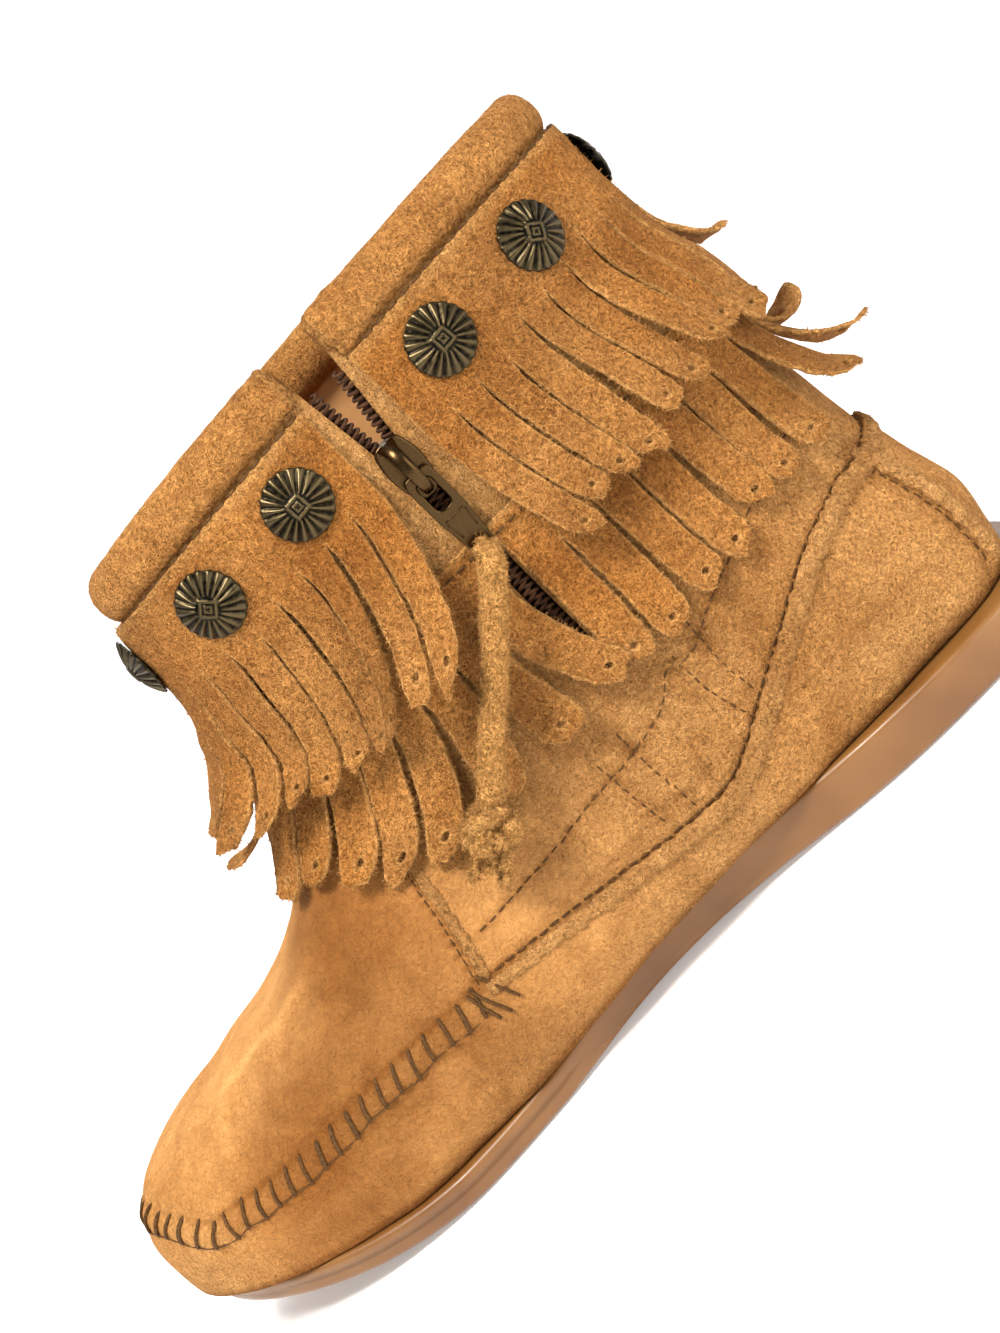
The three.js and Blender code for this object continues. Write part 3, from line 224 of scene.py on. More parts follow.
def last_point(row, turn):
    """A point of the last: row counts its sections from the toe up, turn goes round each."""
    row, turn = np.broadcast_arrays(np.asarray(row, float), np.asarray(turn, float))
    section = hermite(np.arange(len(LAST), dtype=float), LAST, np.clip(row, 0, EDGE_ROW))
    low, low_rise, high, high_rise, medial, lateral, waist, round_low, round_high, swing = np.moveaxis(section, -1, 0)
    over = np.maximum(row - EDGE_ROW, 0)
    low_x = low * LENGTH
    high_x = high * LENGTH
    low_z = rise_to(low_rise, HEEL_HEIGHT)
    high_z = rise_to(high_rise, INSTEP_HEIGHT)
    deep = np.hypot(high_x - low_x, high_z - low_z)
    dx = (high_x - low_x) / deep
    dz = (high_z - low_z) / deep
    c = np.cos(turn)
    s = np.sin(turn)
    power = 2 / np.where(s >= 0, round_high, round_low)
    wide = np.where(c >= 0, medial, lateral) * BALL_WIDTH
    tall = np.where(s >= 0, 1 - waist, waist) * deep
    across = wide * np.sign(c) * np.abs(c) ** power
    along = waist * deep + tall * np.sign(s) * np.abs(s) ** power
    lift = over * EDGE_EXTEND + COLLAR_ARCH * c * c * np.maximum(0, row - EDGE_ROW + 1) ** 2
    return np.stack([
        low_x + dx * along - dz * lift,
        swing * BALL_WIDTH + across,
        low_z + dz * along + dx * lift,
    ], axis=-1)


def last_normal(row, turn):
    step = 0.02
    a = np.maximum(row, step)
    along_row = last_point(a + step, turn) - last_point(a - step, turn)
    round_row = last_point(row, turn + step) - last_point(row, turn - step)
    return unit(np.cross(along_row, round_row))


def last_offset(row, turn, distance):
    distance = np.asarray(distance, float)
    return last_point(row, turn) + last_normal(row, turn) * distance[..., None]


def shaft_row(turn, z):
    """Row of the last at a height."""
    low = mix(3.0, 9.0, np.maximum(0, -np.sin(turn)))
    high = np.full_like(low, EDGE_ROW + 1)
    return bisect(low, high, 26, lambda row: last_point(row, turn)[..., 2] < z)


RING_STEPS = 288
RING_START = -1.2


class Ring:
    """The girth of the shaft at one height, with marks at the zip's line and at the front and back."""

    def __init__(self, z):
        self.turns = np.arange(RING_STEPS + 1) / RING_STEPS * TURN + RING_START
        p = last_point(shaft_row(self.turns, np.full(RING_STEPS + 1, float(z))), self.turns)
        steps = np.hypot(np.diff(p[:, 0]), np.diff(p[:, 1]))
        self.s = np.concatenate([[0], np.cumsum(steps)])
        self.girth = self.s[-1]
        marks = [0, 0, 0, 0]
        for k in range(1, RING_STEPS + 1):
            a = p[k - 1]
            b = p[k]
            forward = b[1] > 0 and a[0] <= ZIP_X < b[0]
            backward = b[1] < 0 and a[0] > ZIP_X >= b[0]
            if forward or backward:
                f = (ZIP_X - a[0]) / (b[0] - a[0])
                marks[0 if forward else 2] = mix(self.s[k - 1], self.s[k], f)
        marks[1] = np.interp(math.pi / 2, self.turns, self.s)
        marks[3] = np.interp(1.5 * math.pi, self.turns, self.s)
        self.marks = np.array(marks + [marks[0] + self.girth])

    def turn_at(self, around, shares):
        """Turn of the last at a share of the way round."""
        whole = np.floor(around)
        at = np.interp(around - whole, shares, self.marks)
        over = at > self.girth
        return (whole + over) * TURN + np.interp(at - over * self.girth, self.s, self.turns)


REFERENCE = Ring(REFERENCE_HEIGHT)
SHARES = (REFERENCE.marks - REFERENCE.marks[0]) / REFERENCE.girth
GIRTH = REFERENCE.girth
LEVEL_STEP = 5
LEVELS = np.arange(35, 161, LEVEL_STEP)
AROUND_STEP = 0.0025
AROUNDS = np.arange(-0.3, 1.3001, AROUND_STEP)
LEVEL_TURNS = np.array([Ring(z).turn_at(AROUNDS, SHARES) for z in LEVELS])
FINE_Z = np.arange(40, 156.01, 1.0)


def fine_turns():
    rows = []
    for z in FINE_Z:
        level = (z - LEVELS[0]) / LEVEL_STEP
        i = min(int(level), len(LEVELS) - 2)
        rows.append(mix(LEVEL_TURNS[i], LEVEL_TURNS[i + 1], level - i))
    return np.array(rows)


FINE_TURNS = fine_turns()
FINE_ROWS = shaft_row(FINE_TURNS, np.repeat(FINE_Z[:, None], len(AROUNDS), axis=1))
FINE_POINTS = last_point(FINE_ROWS, FINE_TURNS)
FINE_NORMALS = last_normal(FINE_ROWS, FINE_TURNS)


def table_at(table, around, z):
    """A value between the nearest places of a table of the shaft."""
    x = np.clip((around - AROUNDS[0]) / AROUND_STEP, 0, len(AROUNDS) - 1.001)
    y = np.clip(z - FINE_Z[0], 0, len(FINE_Z) - 1.001)
    i = x.astype(int)
    j = y.astype(int)
    fx = (x - i)[..., None]
    fy = (y - j)[..., None]
    low = mix(table[j, i], table[j, i + 1], fx)
    high = mix(table[j + 1, i], table[j + 1, i + 1], fx)
    return mix(low, high, fy)


def shaft(around, z, distance):
    """A place at a share of the way round from the zip, at a height, and out from the last."""
    around, z, distance = np.broadcast_arrays(
        np.asarray(around, float), np.asarray(z, float), np.asarray(distance, float)
    )
    normal = unit(table_at(FINE_NORMALS, around, z))
    return table_at(FINE_POINTS, around, z) + normal * distance[..., None]


def shaft_normal(around, z):
    around, z = np.broadcast_arrays(np.asarray(around, float), np.asarray(z, float))
    return unit(table_at(FINE_NORMALS, around, z))


def side_grid(side):
    rows, turns = np.meshgrid(np.arange(0.2, EDGE_ROW, 0.05), np.arange(-1.5, 1.5, 0.02), indexing="ij")
    turns = turns if side > 0 else math.pi - turns
    p = last_point(rows, turns)
    tree = kdtree.KDTree(rows.size)
    for k, (x, z) in enumerate(zip(p[..., 0].ravel(), p[..., 2].ravel())):
        tree.insert((x, 0, z), k)
    tree.balance()
    return tree, rows.ravel(), turns.ravel()


SIDE_GRIDS = {1: side_grid(1), -1: side_grid(-1)}


def side_spots(places, side):
    """Row and turn of places given by x and z in the side view."""
    tree, rows, turns = SIDE_GRIDS[side]
    places = np.array(places, float)
    found = [tree.find((x, 0, z))[1] for x, z in places]
    row = rows[found]
    turn = turns[found]
    step = 0.01
    for _ in range(8):
        p = last_point(row, turn)[..., [0, 2]]
        a = (last_point(row + step, turn)[..., [0, 2]] - p) / step
        b = (last_point(row, turn + step)[..., [0, 2]] - p) / step
        miss = places - p
        det = a[:, 0] * b[:, 1] - a[:, 1] * b[:, 0]
        det = np.where(np.abs(det) < 1e-6, 1e-6, det)
        row = row + np.clip((miss[:, 0] * b[:, 1] - miss[:, 1] * b[:, 0]) / det, -0.05, 0.05)
        turn = turn + np.clip((a[:, 0] * miss[:, 1] - a[:, 1] * miss[:, 0]) / det, -0.02, 0.02)
    return list(zip(row, turn))


class SurfaceLine:
    """A line on the last, by arc length."""

    def __init__(self, spots, spacing=0.25):
        spots = np.array(spots, float)
        rough = last_point(spots[:, 0], spots[:, 1])
        keys = arc_lengths(rough)
        dense = hermite(keys, spots, np.linspace(0, keys[-1], 1500))
        p = last_point(dense[:, 0], dense[:, 1])
        s = arc_lengths(p)
        self.length = s[-1]
        self.count = int(self.length / spacing) + 1
        self.s = np.linspace(0, self.length, self.count)
        self.row = np.interp(self.s, s, dense[:, 0])
        self.turn = np.interp(self.s, s, dense[:, 1])
        self.point = last_point(self.row, self.turn)
        self.normal = last_normal(self.row, self.turn)
        self.along = unit(np.gradient(self.point, axis=0))
        self.across = unit(np.cross(self.normal, self.along))

    def at(self, s):
        def pick(values):
            return np.stack([np.interp(s, self.s, values[:, k]) for k in range(3)], axis=-1)
        return pick(self.point), unit(pick(self.along)), unit(pick(self.across)), unit(pick(self.normal))

    def near(self, points):
        tree = kdtree.KDTree(self.count)
        for k, p in enumerate(self.point):
            tree.insert(p, k)
        tree.balance()
        index = np.zeros(len(points), int)
        for k, p in enumerate(points):
            index[k] = tree.find(p)[1]
        offset = points - self.point[index]
        away = np.einsum("ij,ij->i", offset, self.across[index])
        return self.s[index], away, np.linalg.norm(offset, axis=1)


def side_path(places, count):
    """Evenly spaced places on a smooth line through a few, in the side view."""
    places = np.array(places, float)
    keys = arc_lengths(places)
    return hermite(keys, places, np.linspace(0, keys[-1], count))


def seam_spots(rows, side):
    places = [(along * LENGTH, rise * HEEL_HEIGHT) for along, rise in rows]
    return side_spots(side_path(places, 60), side)


def all_seams():
    inner = seam_spots(QUARTER_SEAM, 1)
    outer = [(row, turn - TURN) for row, turn in seam_spots(QUARTER_SEAM, -1)]
    quarter = SurfaceLine([*inner, (14.1, -math.pi / 2), *outer[::-1]])
    front = side_spots([(TOE_SEAM_FRONT[0] * LENGTH, TOE_SEAM_FRONT[1] * HEEL_HEIGHT)], 1)[0]
    toe_in = seam_spots(TOE_SEAM, 1)[::6]
    toe_out = seam_spots(TOE_SEAM, -1)[::6]
    toe = SurfaceLine([*toe_in, front, (front[0], math.pi - front[1]), *toe_out[::-1]])
    heel = SurfaceLine([(row, -math.pi / 2 + 0.47) for row in np.linspace(11.3, 13.9, 8)])
    return quarter, toe, heel


def side_line(places, side=1):
    return SurfaceLine(side_spots(side_path(places, 12), side))


# Sole heights and outline
def sole_under(x):
    return np.maximum(0, hermite(SOLE_HEIGHTS[:, 0], SOLE_HEIGHTS[:, 1:], x / LENGTH)[..., 0]) * TOE_SPRING


def sole_top(x):
    thick = hermite(SOLE_HEIGHTS[:, 0], SOLE_HEIGHTS[:, 1:], x / LENGTH)[..., 1]
    return sole_under(x) + mix(SOLE_AT_BALL, SOLE_AT_HEEL, thick)


def sole_edges(x):
    edge = hermite(SOLE_OUTLINE[:, 0], SOLE_OUTLINE[:, 1:], x / LENGTH)
    return edge[..., 0] * BALL_WIDTH, -edge[..., 1] * BALL_WIDTH


def zip_half(z):
    f = np.maximum(0, (z - SLIDER_Z + 2) / (EDGE_HEIGHT - SLIDER_Z))
    return mix(ZIP_SLIT, ZIP_OPEN, np.minimum(f, 1.2)) / 2


# Materials
def srgb(red, green, blue):
    values = [c / 12.92 if c <= 0.04045 else ((c + 0.055) / 1.055) ** 2.4 for c in (red, green, blue)]
    return (*values, 1.0)


class Look:
    """One procedural material, built from a few kinds of nodes."""

    def __init__(self, name, **numbers):
        self.material = bpy.data.materials.new(name)
        self.material.use_nodes = True
        self.tree = self.material.node_tree
        self.shader = self.tree.nodes["Principled BSDF"]
        for key, value in numbers.items():
            self.shader.inputs[key.replace("_", " ").title().replace("Ior", "IOR")].default_value = value
        self.coordinates = self.tree.nodes.new("ShaderNodeTexCoord").outputs["Object"]

    def put(self, socket, value):
        if isinstance(value, bpy.types.NodeSocket):
            self.tree.links.new(value, socket)
        else:
            socket.default_value = value

    def node(self, kind, inputs, **settings):
        """Outputs of a new node, with its inputs by name or number."""
        made = self.tree.nodes.new("ShaderNode" + kind)
        for key, value in settings.items():
            setattr(made, key, value)
        for key, value in inputs.items():
            self.put(made.inputs[key], value)
        return made.outputs

    def stretched(self, x, y, z):
        return self.node("Mapping", {"Vector": self.coordinates, "Scale": (x, y, z)})["Vector"]

    def noise(self, size_mm, detail=2.0, rough=0.5, warp=0.0, vector=None):
        return self.node("TexNoise", {
            "Vector": vector or self.coordinates, "Scale": 1 / (size_mm * MM), "Detail": detail,
            "Roughness": rough, "Distortion": warp,
        })["Fac"]

    def cloud(self, noise, low, high, edge=0.3):
        """A noise stretched between two values."""
        return self.between(noise, edge, 1 - edge, low, high)

    def field(self, name):
        return self.node("Attribute", {}, attribute_name=name)["Fac"]

    def sum(self, op, a, b=0.0, clamp=False):
        return self.node("Math", {0: a, 1: b}, operation=op, use_clamp=clamp)[0]

    def between(self, value, low, high, to_low=0.0, to_high=1.0):
        return self.node("MapRange", {
            "Value": value, "From Min": low, "From Max": high, "To Min": to_low, "To Max": to_high,
        })["Result"]

    def blend(self, factor, a, b, kind="MIX"):
        return self.node("Mix", {0: factor, 6: a, 7: b}, data_type="RGBA", blend_type=kind)[2]

    def bump(self, height, distance_mm, strength=1.0, normal=None):
        inputs = {"Distance": distance_mm * MM, "Strength": strength, "Height": height}
        if normal:
            inputs["Normal"] = normal
        return self.node("Bump", inputs)["Normal"]

    def done(self, colour, rough, normal=None):
        self.put(self.shader.inputs["Base Color"], colour)
        self.put(self.shader.inputs["Roughness"], rough)
        if normal:
            self.put(self.shader.inputs["Normal"], normal)
        return self.material


def suede_look(name, light, middle, dark, grain=1.0, nap_mm=9.0):
    """Napped suede: dye in broad clouds, nap, fibres, and the fields of the pieces, whose shade field paints shade
    into the colour.
    """
    look = Look(name, specular_ior_level=0.12, sheen_weight=0.12, sheen_roughness=0.55)
    look.shader.inputs["Sheen Tint"].default_value = srgb(1.0, 0.80, 0.55)
    broad = look.noise(38, 2.0, 0.5, 0.3)
    nap = look.noise(nap_mm, 4.0, 0.6, 0.6)
    clump = look.noise(1.25, 3.0, 0.68, 1.1)
    fibre = look.noise(0.8, 3.0, 0.68, 0.5)
    speck = look.noise(0.38, 2.0, 0.6)
    rough = look.between(look.field("worn"), 0, 1, 1.0, 0.32)
    tone = look.sum("ADD", look.cloud(broad, -0.25, 0.25), look.cloud(nap, 0.18, 0.82))
    base = look.blend(look.between(tone, 0.0, 1.0), dark, light)
    base = look.blend(look.between(look.field("warm"), 0, 1), base, look.blend(0.6, base, srgb(0.80, 0.52, 0.23)))
    base = look.blend(look.between(look.field("edge"), 0.15, 1.0, 0.0, 0.8), base, middle)
    dots = look.sum("ADD", look.cloud(clump, -0.30, 0.30, 0.36), look.cloud(fibre, -0.30, 0.30, 0.34))
    dots = look.sum("MULTIPLY", look.sum("MULTIPLY", dots, grain), rough)
    dots = look.blend(look.sum("ADD", dots, 0.55, True), (0.68, 0.57, 0.44, 1), (1.34, 1.33, 1.28, 1))
    base = look.blend(1.0, base, dots, "MULTIPLY")
    # Painted shade: the shade field multiplies the colour towards a dull brown, with the darker dye and random tone
    # that some pieces also put in it.
    deep = look.blend(look.between(look.field("shade"), 0, 1), (1, 1, 1, 1), srgb(0.66, 0.585, 0.49))
    bumps = look.bump(look.noise(3.0, 3.0, 0.55), 0.5 * grain, 0.6)
    bumps = look.bump(look.sum("MULTIPLY", clump, rough), 2.6 * grain, 1.0, bumps)
    bumps = look.bump(look.sum("MULTIPLY", fibre, rough), 1.6 * grain, 1.0, bumps)
    bumps = look.bump(speck, 0.3 * grain, 0.7, bumps)
    return look.done(look.blend(1.0, base, deep, "MULTIPLY"), look.cloud(nap, 0.88, 0.99), bumps)


def rubber_look():
    look = Look(
        "gum_rubber", specular_ior_level=0.5, subsurface_weight=0.1, subsurface_scale=0.004,
        coat_weight=0.15, coat_roughness=0.35,
    )
    look.shader.inputs["Subsurface Radius"].default_value = (1.0, 0.5, 0.2)
    base = look.blend(look.cloud(look.noise(26), 0, 1), srgb(0.45, 0.29, 0.13), srgb(0.55, 0.38, 0.19))
    # Painted shade from the shade field: deepest in the tread's grooves, light on the sides and under the sole.
    base = look.blend(look.between(look.field("shade"), 0, 1), base, srgb(0.36, 0.23, 0.12))
    return look.done(base, look.cloud(look.noise(4, 3.0), 0.30, 0.46), look.bump(look.noise(1.6, 3.0, 0.6), 0.10, 0.4))


def lining_look():
    look = Look("lining_leather", specular_ior_level=0.3)
    base = look.blend(look.cloud(look.noise(12, 3.0), 0, 1), srgb(0.70, 0.50, 0.30), srgb(0.80, 0.61, 0.40))
    return look.done(base, look.cloud(look.noise(3), 0.62, 0.75), look.bump(look.noise(0.9, 4.0, 0.6), 0.12, 0.6))


def cloth_look(name, light, dark):
    look = Look(name, specular_ior_level=0.25)
    weave = look.noise(0.45, 1.0, 0.5, 0.0, look.stretched(1.0, 1.0, 0.45))
    return look.done(look.blend(look.cloud(weave, 0, 1, 0.35), dark, light), 0.8, look.bump(weave, 0.2, 0.8))


def nylon_look():
    look = Look("zip_nylon", specular_ior_level=0.1)
    tone = look.cloud(look.noise(1.5), 0, 1)
    return look.done(look.blend(tone, srgb(0.17, 0.105, 0.07), srgb(0.33, 0.215, 0.14)), 0.7)


def brass_look(name, high, low, rough_low, rough_high, metal=0.9):
    """Aged brass, bright where the field high is raised and dark in the hollows."""
    look = Look(name, metallic=metal)
    worn = look.noise(1.1, 4.0, 0.65)
    raised = look.between(look.field("high"), 0, 1, 0.0, 0.8)
    patina = look.between(look.sum("ADD", raised, look.cloud(worn, -0.12, 0.25, 0.35)), 0.1, 0.85)
    bumps = look.bump(look.noise(0.5, 3.0), 0.05, 0.5)
    return look.done(look.blend(patina, low, high), look.cloud(worn, rough_low, rough_high), bumps)


def thread_look():
    look = Look("waxed_thread", specular_ior_level=0.15)
    twist = look.noise(0.5)
    base = look.blend(look.cloud(twist, 0, 1), srgb(0.25, 0.16, 0.075), srgb(0.40, 0.275, 0.14))
    return look.done(base, 0.62, look.bump(twist, 0.12, 0.8))


SUEDE_LOOK = suede_look("suede", srgb(0.91, 0.695, 0.445), srgb(0.91, 0.70, 0.46), srgb(0.69, 0.485, 0.27))
FRINGE_LOOK = suede_look(
    "suede_fringe", srgb(0.86, 0.62, 0.36), srgb(0.98, 0.75, 0.47), srgb(0.69, 0.47, 0.25), 1.35, 7.0,
)
THONG_LOOK = suede_look(
    "suede_thong", srgb(0.94, 0.70, 0.41), srgb(1.0, 0.79, 0.50), srgb(0.70, 0.47, 0.24), 1.45, 2.6,
)
RUBBER_LOOK = rubber_look()
LINING_LOOK = lining_look()
TAPE_LOOK = cloth_look("zip_tape_cloth", srgb(0.22, 0.14, 0.09), srgb(0.12, 0.075, 0.05))
NYLON_LOOK = nylon_look()
CONCHO_LOOK = brass_look("antique_brass", srgb(0.34, 0.29, 0.195), srgb(0.05, 0.04, 0.026), 0.26, 0.44)
SLIDER_LOOK = brass_look("slider_brass", srgb(0.29, 0.22, 0.135), srgb(0.17, 0.13, 0.08), 0.20, 0.32, 1.0)
THREAD_LOOK = thread_look()


# Mesh helpers
def piece(name, points, faces, material, fields=None, ride="boot"):
    """A new object in millimetres that rides on a body, with the fields that its material reads."""
    mesh = bpy.data.meshes.new(name)
    mesh.from_pydata((np.asarray(points) * MM).tolist(), [], [tuple(int(k) for k in f) for f in faces])
    mesh.materials.append(material)
    values = {"edge": 0.0, "shade": 0.0, "warm": 0.0, "high": 1.0, "worn": 0.0}
    values.update(fields or {})
    for key, numbers in values.items():
        layer = mesh.attributes.new(key, "FLOAT", "POINT")
        flat = np.broadcast_to(np.asarray(numbers, float), (len(points),))
        layer.data.foreach_set("value", np.ascontiguousarray(flat))
    mesh.polygons.foreach_set("use_smooth", [True] * len(mesh.polygons))
    mesh.update()
    made = bpy.data.objects.new(name, mesh)
    bpy.context.scene.collection.objects.link(made)
    if ride:
        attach(made, ride)
    return made


def grid_faces(rows, columns, closed=False):
    wrap = columns if closed else columns - 1
    i, j = np.meshgrid(np.arange(rows - 1), np.arange(wrap), indexing="ij")
    a = i * columns + j
    b = i * columns + (j + 1) % columns
    return np.stack([a, b, b + columns, a + columns], axis=-1).reshape(-1, 4)


def facing(points, faces, normals, start=0):
    """The faces, turned over where most of them from start on look against the normals."""
    some = faces[start:]
    total = 0
    for f in some[:: max(1, len(some) // 400)]:
        a, b, c = (points[k] for k in f[:3])
        total += np.dot(np.cross(b - a, c - a), normals[f[0]])
    if total >= 0:
        return faces
    return faces[:, ::-1] if isinstance(faces, np.ndarray) else [f[::-1] for f in faces]


def thick_sheet(front, back, faces, soft):
    """Front and back of a sheet with a rounded rim. Returns points, faces and the rim's field."""
    count = len(front)
    normals = unit(front - back)
    faces = facing(front, [list(f) for f in faces], normals)
    edges = {}
    for f in faces:
        for a, b in zip(f, f[1:] + f[:1]):
            edges[(a, b)] = True
    rim = [(a, b) for a, b in edges if (b, a) not in edges]
    push = np.zeros((count, 3))
    for a, b in rim:
        out = np.cross(front[b] - front[a], normals[a])
        length = np.linalg.norm(out)
        if length > 1e-9:
            push[a] += out / length
            push[b] += out / length
    on_rim = np.linalg.norm(push, axis=1) > 1e-9
    push = unit(push)
    middle_index = np.full(count, -1)
    middle_index[on_rim] = 2 * count + np.arange(on_rim.sum())
    front_set = front - push * soft * on_rim[:, None]
    back_set = back - push * soft * on_rim[:, None]
    middle = ((front + back) / 2)[on_rim]
    points = np.concatenate([front_set, back_set, middle])
    out_faces = list(faces)
    out_faces += [[k + count for k in f[::-1]] for f in faces]
    for a, b in rim:
        ma = middle_index[a]
        mb = middle_index[b]
        out_faces.append([b, a, ma, mb])
        out_faces.append([mb, ma, a + count, b + count])
    edge = np.concatenate([on_rim * 0.8, on_rim * 0.8, np.ones(on_rim.sum())])
    return points, out_faces, edge


def frames_along(path):
    """Direction of a path with two sides that don't twist round it."""
    along = unit(np.gradient(path, axis=0))
    side = np.cross(along[0], [0, 0, 1.0])
    if np.linalg.norm(side) < 0.1:
        side = np.cross(along[0], [0, 1.0, 0])
    side = side / np.linalg.norm(side)
    sides = []
    for t in along:
        side = side - t * np.dot(side, t)
        side = side / np.linalg.norm(side)
        sides.append(side.copy())
    sides = np.array(sides)
    return along, sides, np.cross(along, sides)


def caps(start, end, around, first_hub, last_hub):
    """Triangles that close the two ends of a tube."""
    faces = []
    for k in range(around):
        n = (k + 1) % around
        faces += [[start + n, start + k, first_hub], [end + k, end + n, last_hub]]
    return faces


def tube(path, radius, around=8, squash=1.0, side=None):
    """Points and faces of a tube; radius may be an array."""
    path = np.asarray(path, float)
    radius = np.broadcast_to(np.asarray(radius, float), (len(path),))
    along, u, v = frames_along(path)
    if side is not None:
        u = unit(side - along * np.einsum("ij,ij->i", side, along)[:, None])
        v = np.cross(along, u)
    angle = np.arange(around) / around * TURN
    ring = (
        u[:, None] * np.cos(angle)[None, :, None] * radius[:, None, None]
        + v[:, None] * np.sin(angle)[None, :, None] * radius[:, None, None] * squash
    )
    points = (path[:, None] + ring).reshape(-1, 3)
    faces = [list(f) for f in grid_faces(len(path), around, closed=True)]
    count = len(points)
    faces += caps(0, count - around, around, count, count + 1)
    return np.concatenate([points, [path[0]], [path[-1]]]), faces


def joined(parts):
    """Several meshes as one."""
    points = []
    faces = []
    shift = 0
    for p, f in parts:
        points.append(np.asarray(p))
        faces += [[k + shift for k in one] for one in f]
        shift += len(p)
    return np.concatenate(points), faces


def capsule(centre, direction, up, length, width, bow):
    """One stitch: a rounded bar that lies on the leather."""
    t = np.linspace(-1, 1, 7)
    path = centre + np.outer(t, direction) * length / 2 - np.outer(t ** 4, up) * bow
    radius = width / 2 * np.sqrt(np.maximum(1 - np.abs(t) ** 5, 0.02))
    return tube(path, radius, 6, 1.0, np.tile(np.cross(direction, up), (7, 1)))


def triangles(faces):
    return np.array([[f[0], f[k], f[k + 1]] for f in faces for k in range(1, len(f) - 1)])


def fibres(points, faces, weight, count, length, seed, width=0.085):
    """Loose hairs of the nap: thin three sided slivers that stand on the given faces."""
    rng = np.random.default_rng(seed)
    points = np.asarray(points, float)
    three = triangles(faces)
    a, b, c = (points[three[:, k]] for k in range(3))
    cross = np.cross(b - a, c - a)
    area = np.linalg.norm(cross, axis=1)
    share = area * np.asarray(weight)[three].mean(axis=1)
    pick = rng.choice(len(three), count, p=share / share.sum())
    normal = cross[pick] / np.maximum(area[pick], 1e-9)[:, None]
    u = rng.uniform(0, 1, (count, 2))
    flip = u.sum(axis=1) > 1
    u[flip] = 1 - u[flip]
    root = a[pick] + (b - a)[pick] * u[:, :1] + (c - a)[pick] * u[:, 1:]
    way = unit(normal * 0.75 + rng.normal(0, 0.55, (count, 3)))
    bend = rng.normal(0, 0.55, (count, 3)) - np.array([0, 0, 0.25])
    size = length * rng.uniform(0.45, 1.35, count)[:, None]
    side = unit(np.cross(way, rng.normal(0, 1, (count, 3))))
    other = np.cross(way, side)
    half = width * rng.uniform(0.7, 1.3, count)[:, None]
    rows = [root - normal * 0.15, root + way * size * 0.5, root + unit(way + bend) * size]
    made = []
    for centre, wide in ((rows[0], 1.0), (rows[1], 0.75)):
        for k in range(3):
            angle = k / 3 * TURN
            made.append(centre + (side * math.cos(angle) + other * math.sin(angle)) * half * wide)
    made.append(rows[2])
    out = np.stack(made, axis=1).reshape(-1, 3)
    pattern = np.array([
        [0, 2, 1], [0, 1, 4], [0, 4, 3], [1, 2, 5], [1, 5, 4], [2, 0, 3], [2, 3, 5],
        [3, 4, 6], [4, 5, 6], [5, 3, 6],
    ])
    return out, (pattern[None] + 7 * np.arange(count)[:, None, None]).reshape(-1, 3)


def napped(mesh, count, length, seed, width=0.085):
    """A mesh joined with its own hairs, spread evenly."""
    points, faces = mesh
    return joined([mesh, fibres(points, faces, np.ones(len(points)), count, length, seed, width)])


def thread_piece(name, parts):
    return piece(name, *joined(parts), THREAD_LOOK)


def stitch_row(line, margin, spacing, length, width, out, aside, bow, seed):
    """Stitches on the leather along a seam, aside of it and clear of its ends by the margin."""
    rng = np.random.default_rng(seed)
    end = line.length - margin
    count = max(1, int((end - margin) / spacing))
    s = margin + (np.arange(count) + 0.5) * (end - margin) / count + rng.uniform(-0.1, 0.1, count)
    p, along, across, normal = line.at(s)
    centre = p + across * (aside + rng.normal(0, 0.08, count))[:, None]
    centre = centre + normal * (out + relief(centre)[0])[:, None]
    parts = []
    for k in range(count):
        direction = unit(along[k] + across[k] * rng.uniform(-0.07, 0.07))
        size = length * rng.uniform(0.9, 1.08)
        parts.append(capsule(centre[k], direction, normal[k], size, width, bow))
    return parts


# Camera, at the photograph's view
def place_camera():
    data = bpy.data.cameras.new("view")
    data.lens = 52.69
    data.sensor_width = 36
    data.clip_start = 0.02
    camera = bpy.data.objects.new("view", data)
    right = (-0.71055541, 0.07197155, -0.69995079)
    up = (-0.69873659, -0.18941931, 0.689846)
    back = (-0.08293491, 0.97925503, 0.18488207)
    rows = [(right[k], up[k], back[k], (0.06138354, 0.422305, 0.14949501)[k]) for k in range(3)]
    camera.matrix_world = Matrix([*rows, (0, 0, 0, 1)])
    bpy.context.scene.collection.objects.link(camera)
    bpy.context.scene.camera = camera


place_camera()


# Zip frame: x toward the toe, y outward, z up
def zip_tangent(z):
    ahead = shaft(0.01, z, 0) - shaft(-0.01, z, 0)
    return ahead / ahead[..., :1]


def zip_point(x, z, distance):
    x = np.asarray(x, float)
    return shaft(0.0 * x, z, distance) + zip_tangent(np.asarray(z, float) + 0 * x) * x[..., None]


ZIP_ORIGIN = np.array([79.0745, 34.1014, 118.05])
ZIP_TOE = np.array([0.9975, 0.0701, -0.0034])
ZIP_OUT = np.array([-0.0702, 0.9962, -0.0518])
ZIP_UP = np.array([-0.0003, 0.0520, 0.9986])


def on_zip(points):
    points = np.asarray(points, float)
    return ZIP_ORIGIN + points @ np.array([ZIP_TOE, ZIP_OUT, ZIP_UP])


# The pull tab in the zip's frame: how far out it hangs, its bar, its lower end and its hole
TAB_OUT = 4.1
TAB_BAR = -2.2
TAB_END = TAB_BAR - 21
HOLE_Z = TAB_END + 3


# Suede thong with its knot
def smooth_path(points, count):
    """Evenly spaced points on a smooth line through a few, and its length."""
    points = np.array(points, float)
    keys = arc_lengths(points)
    dense = hermite(keys, points, np.linspace(0, keys[-1], 600))
    s = arc_lengths(dense)
    at = np.linspace(0, s[-1], count)
    return np.stack([np.interp(at, s, dense[:, k]) for k in range(3)], axis=-1), s[-1]


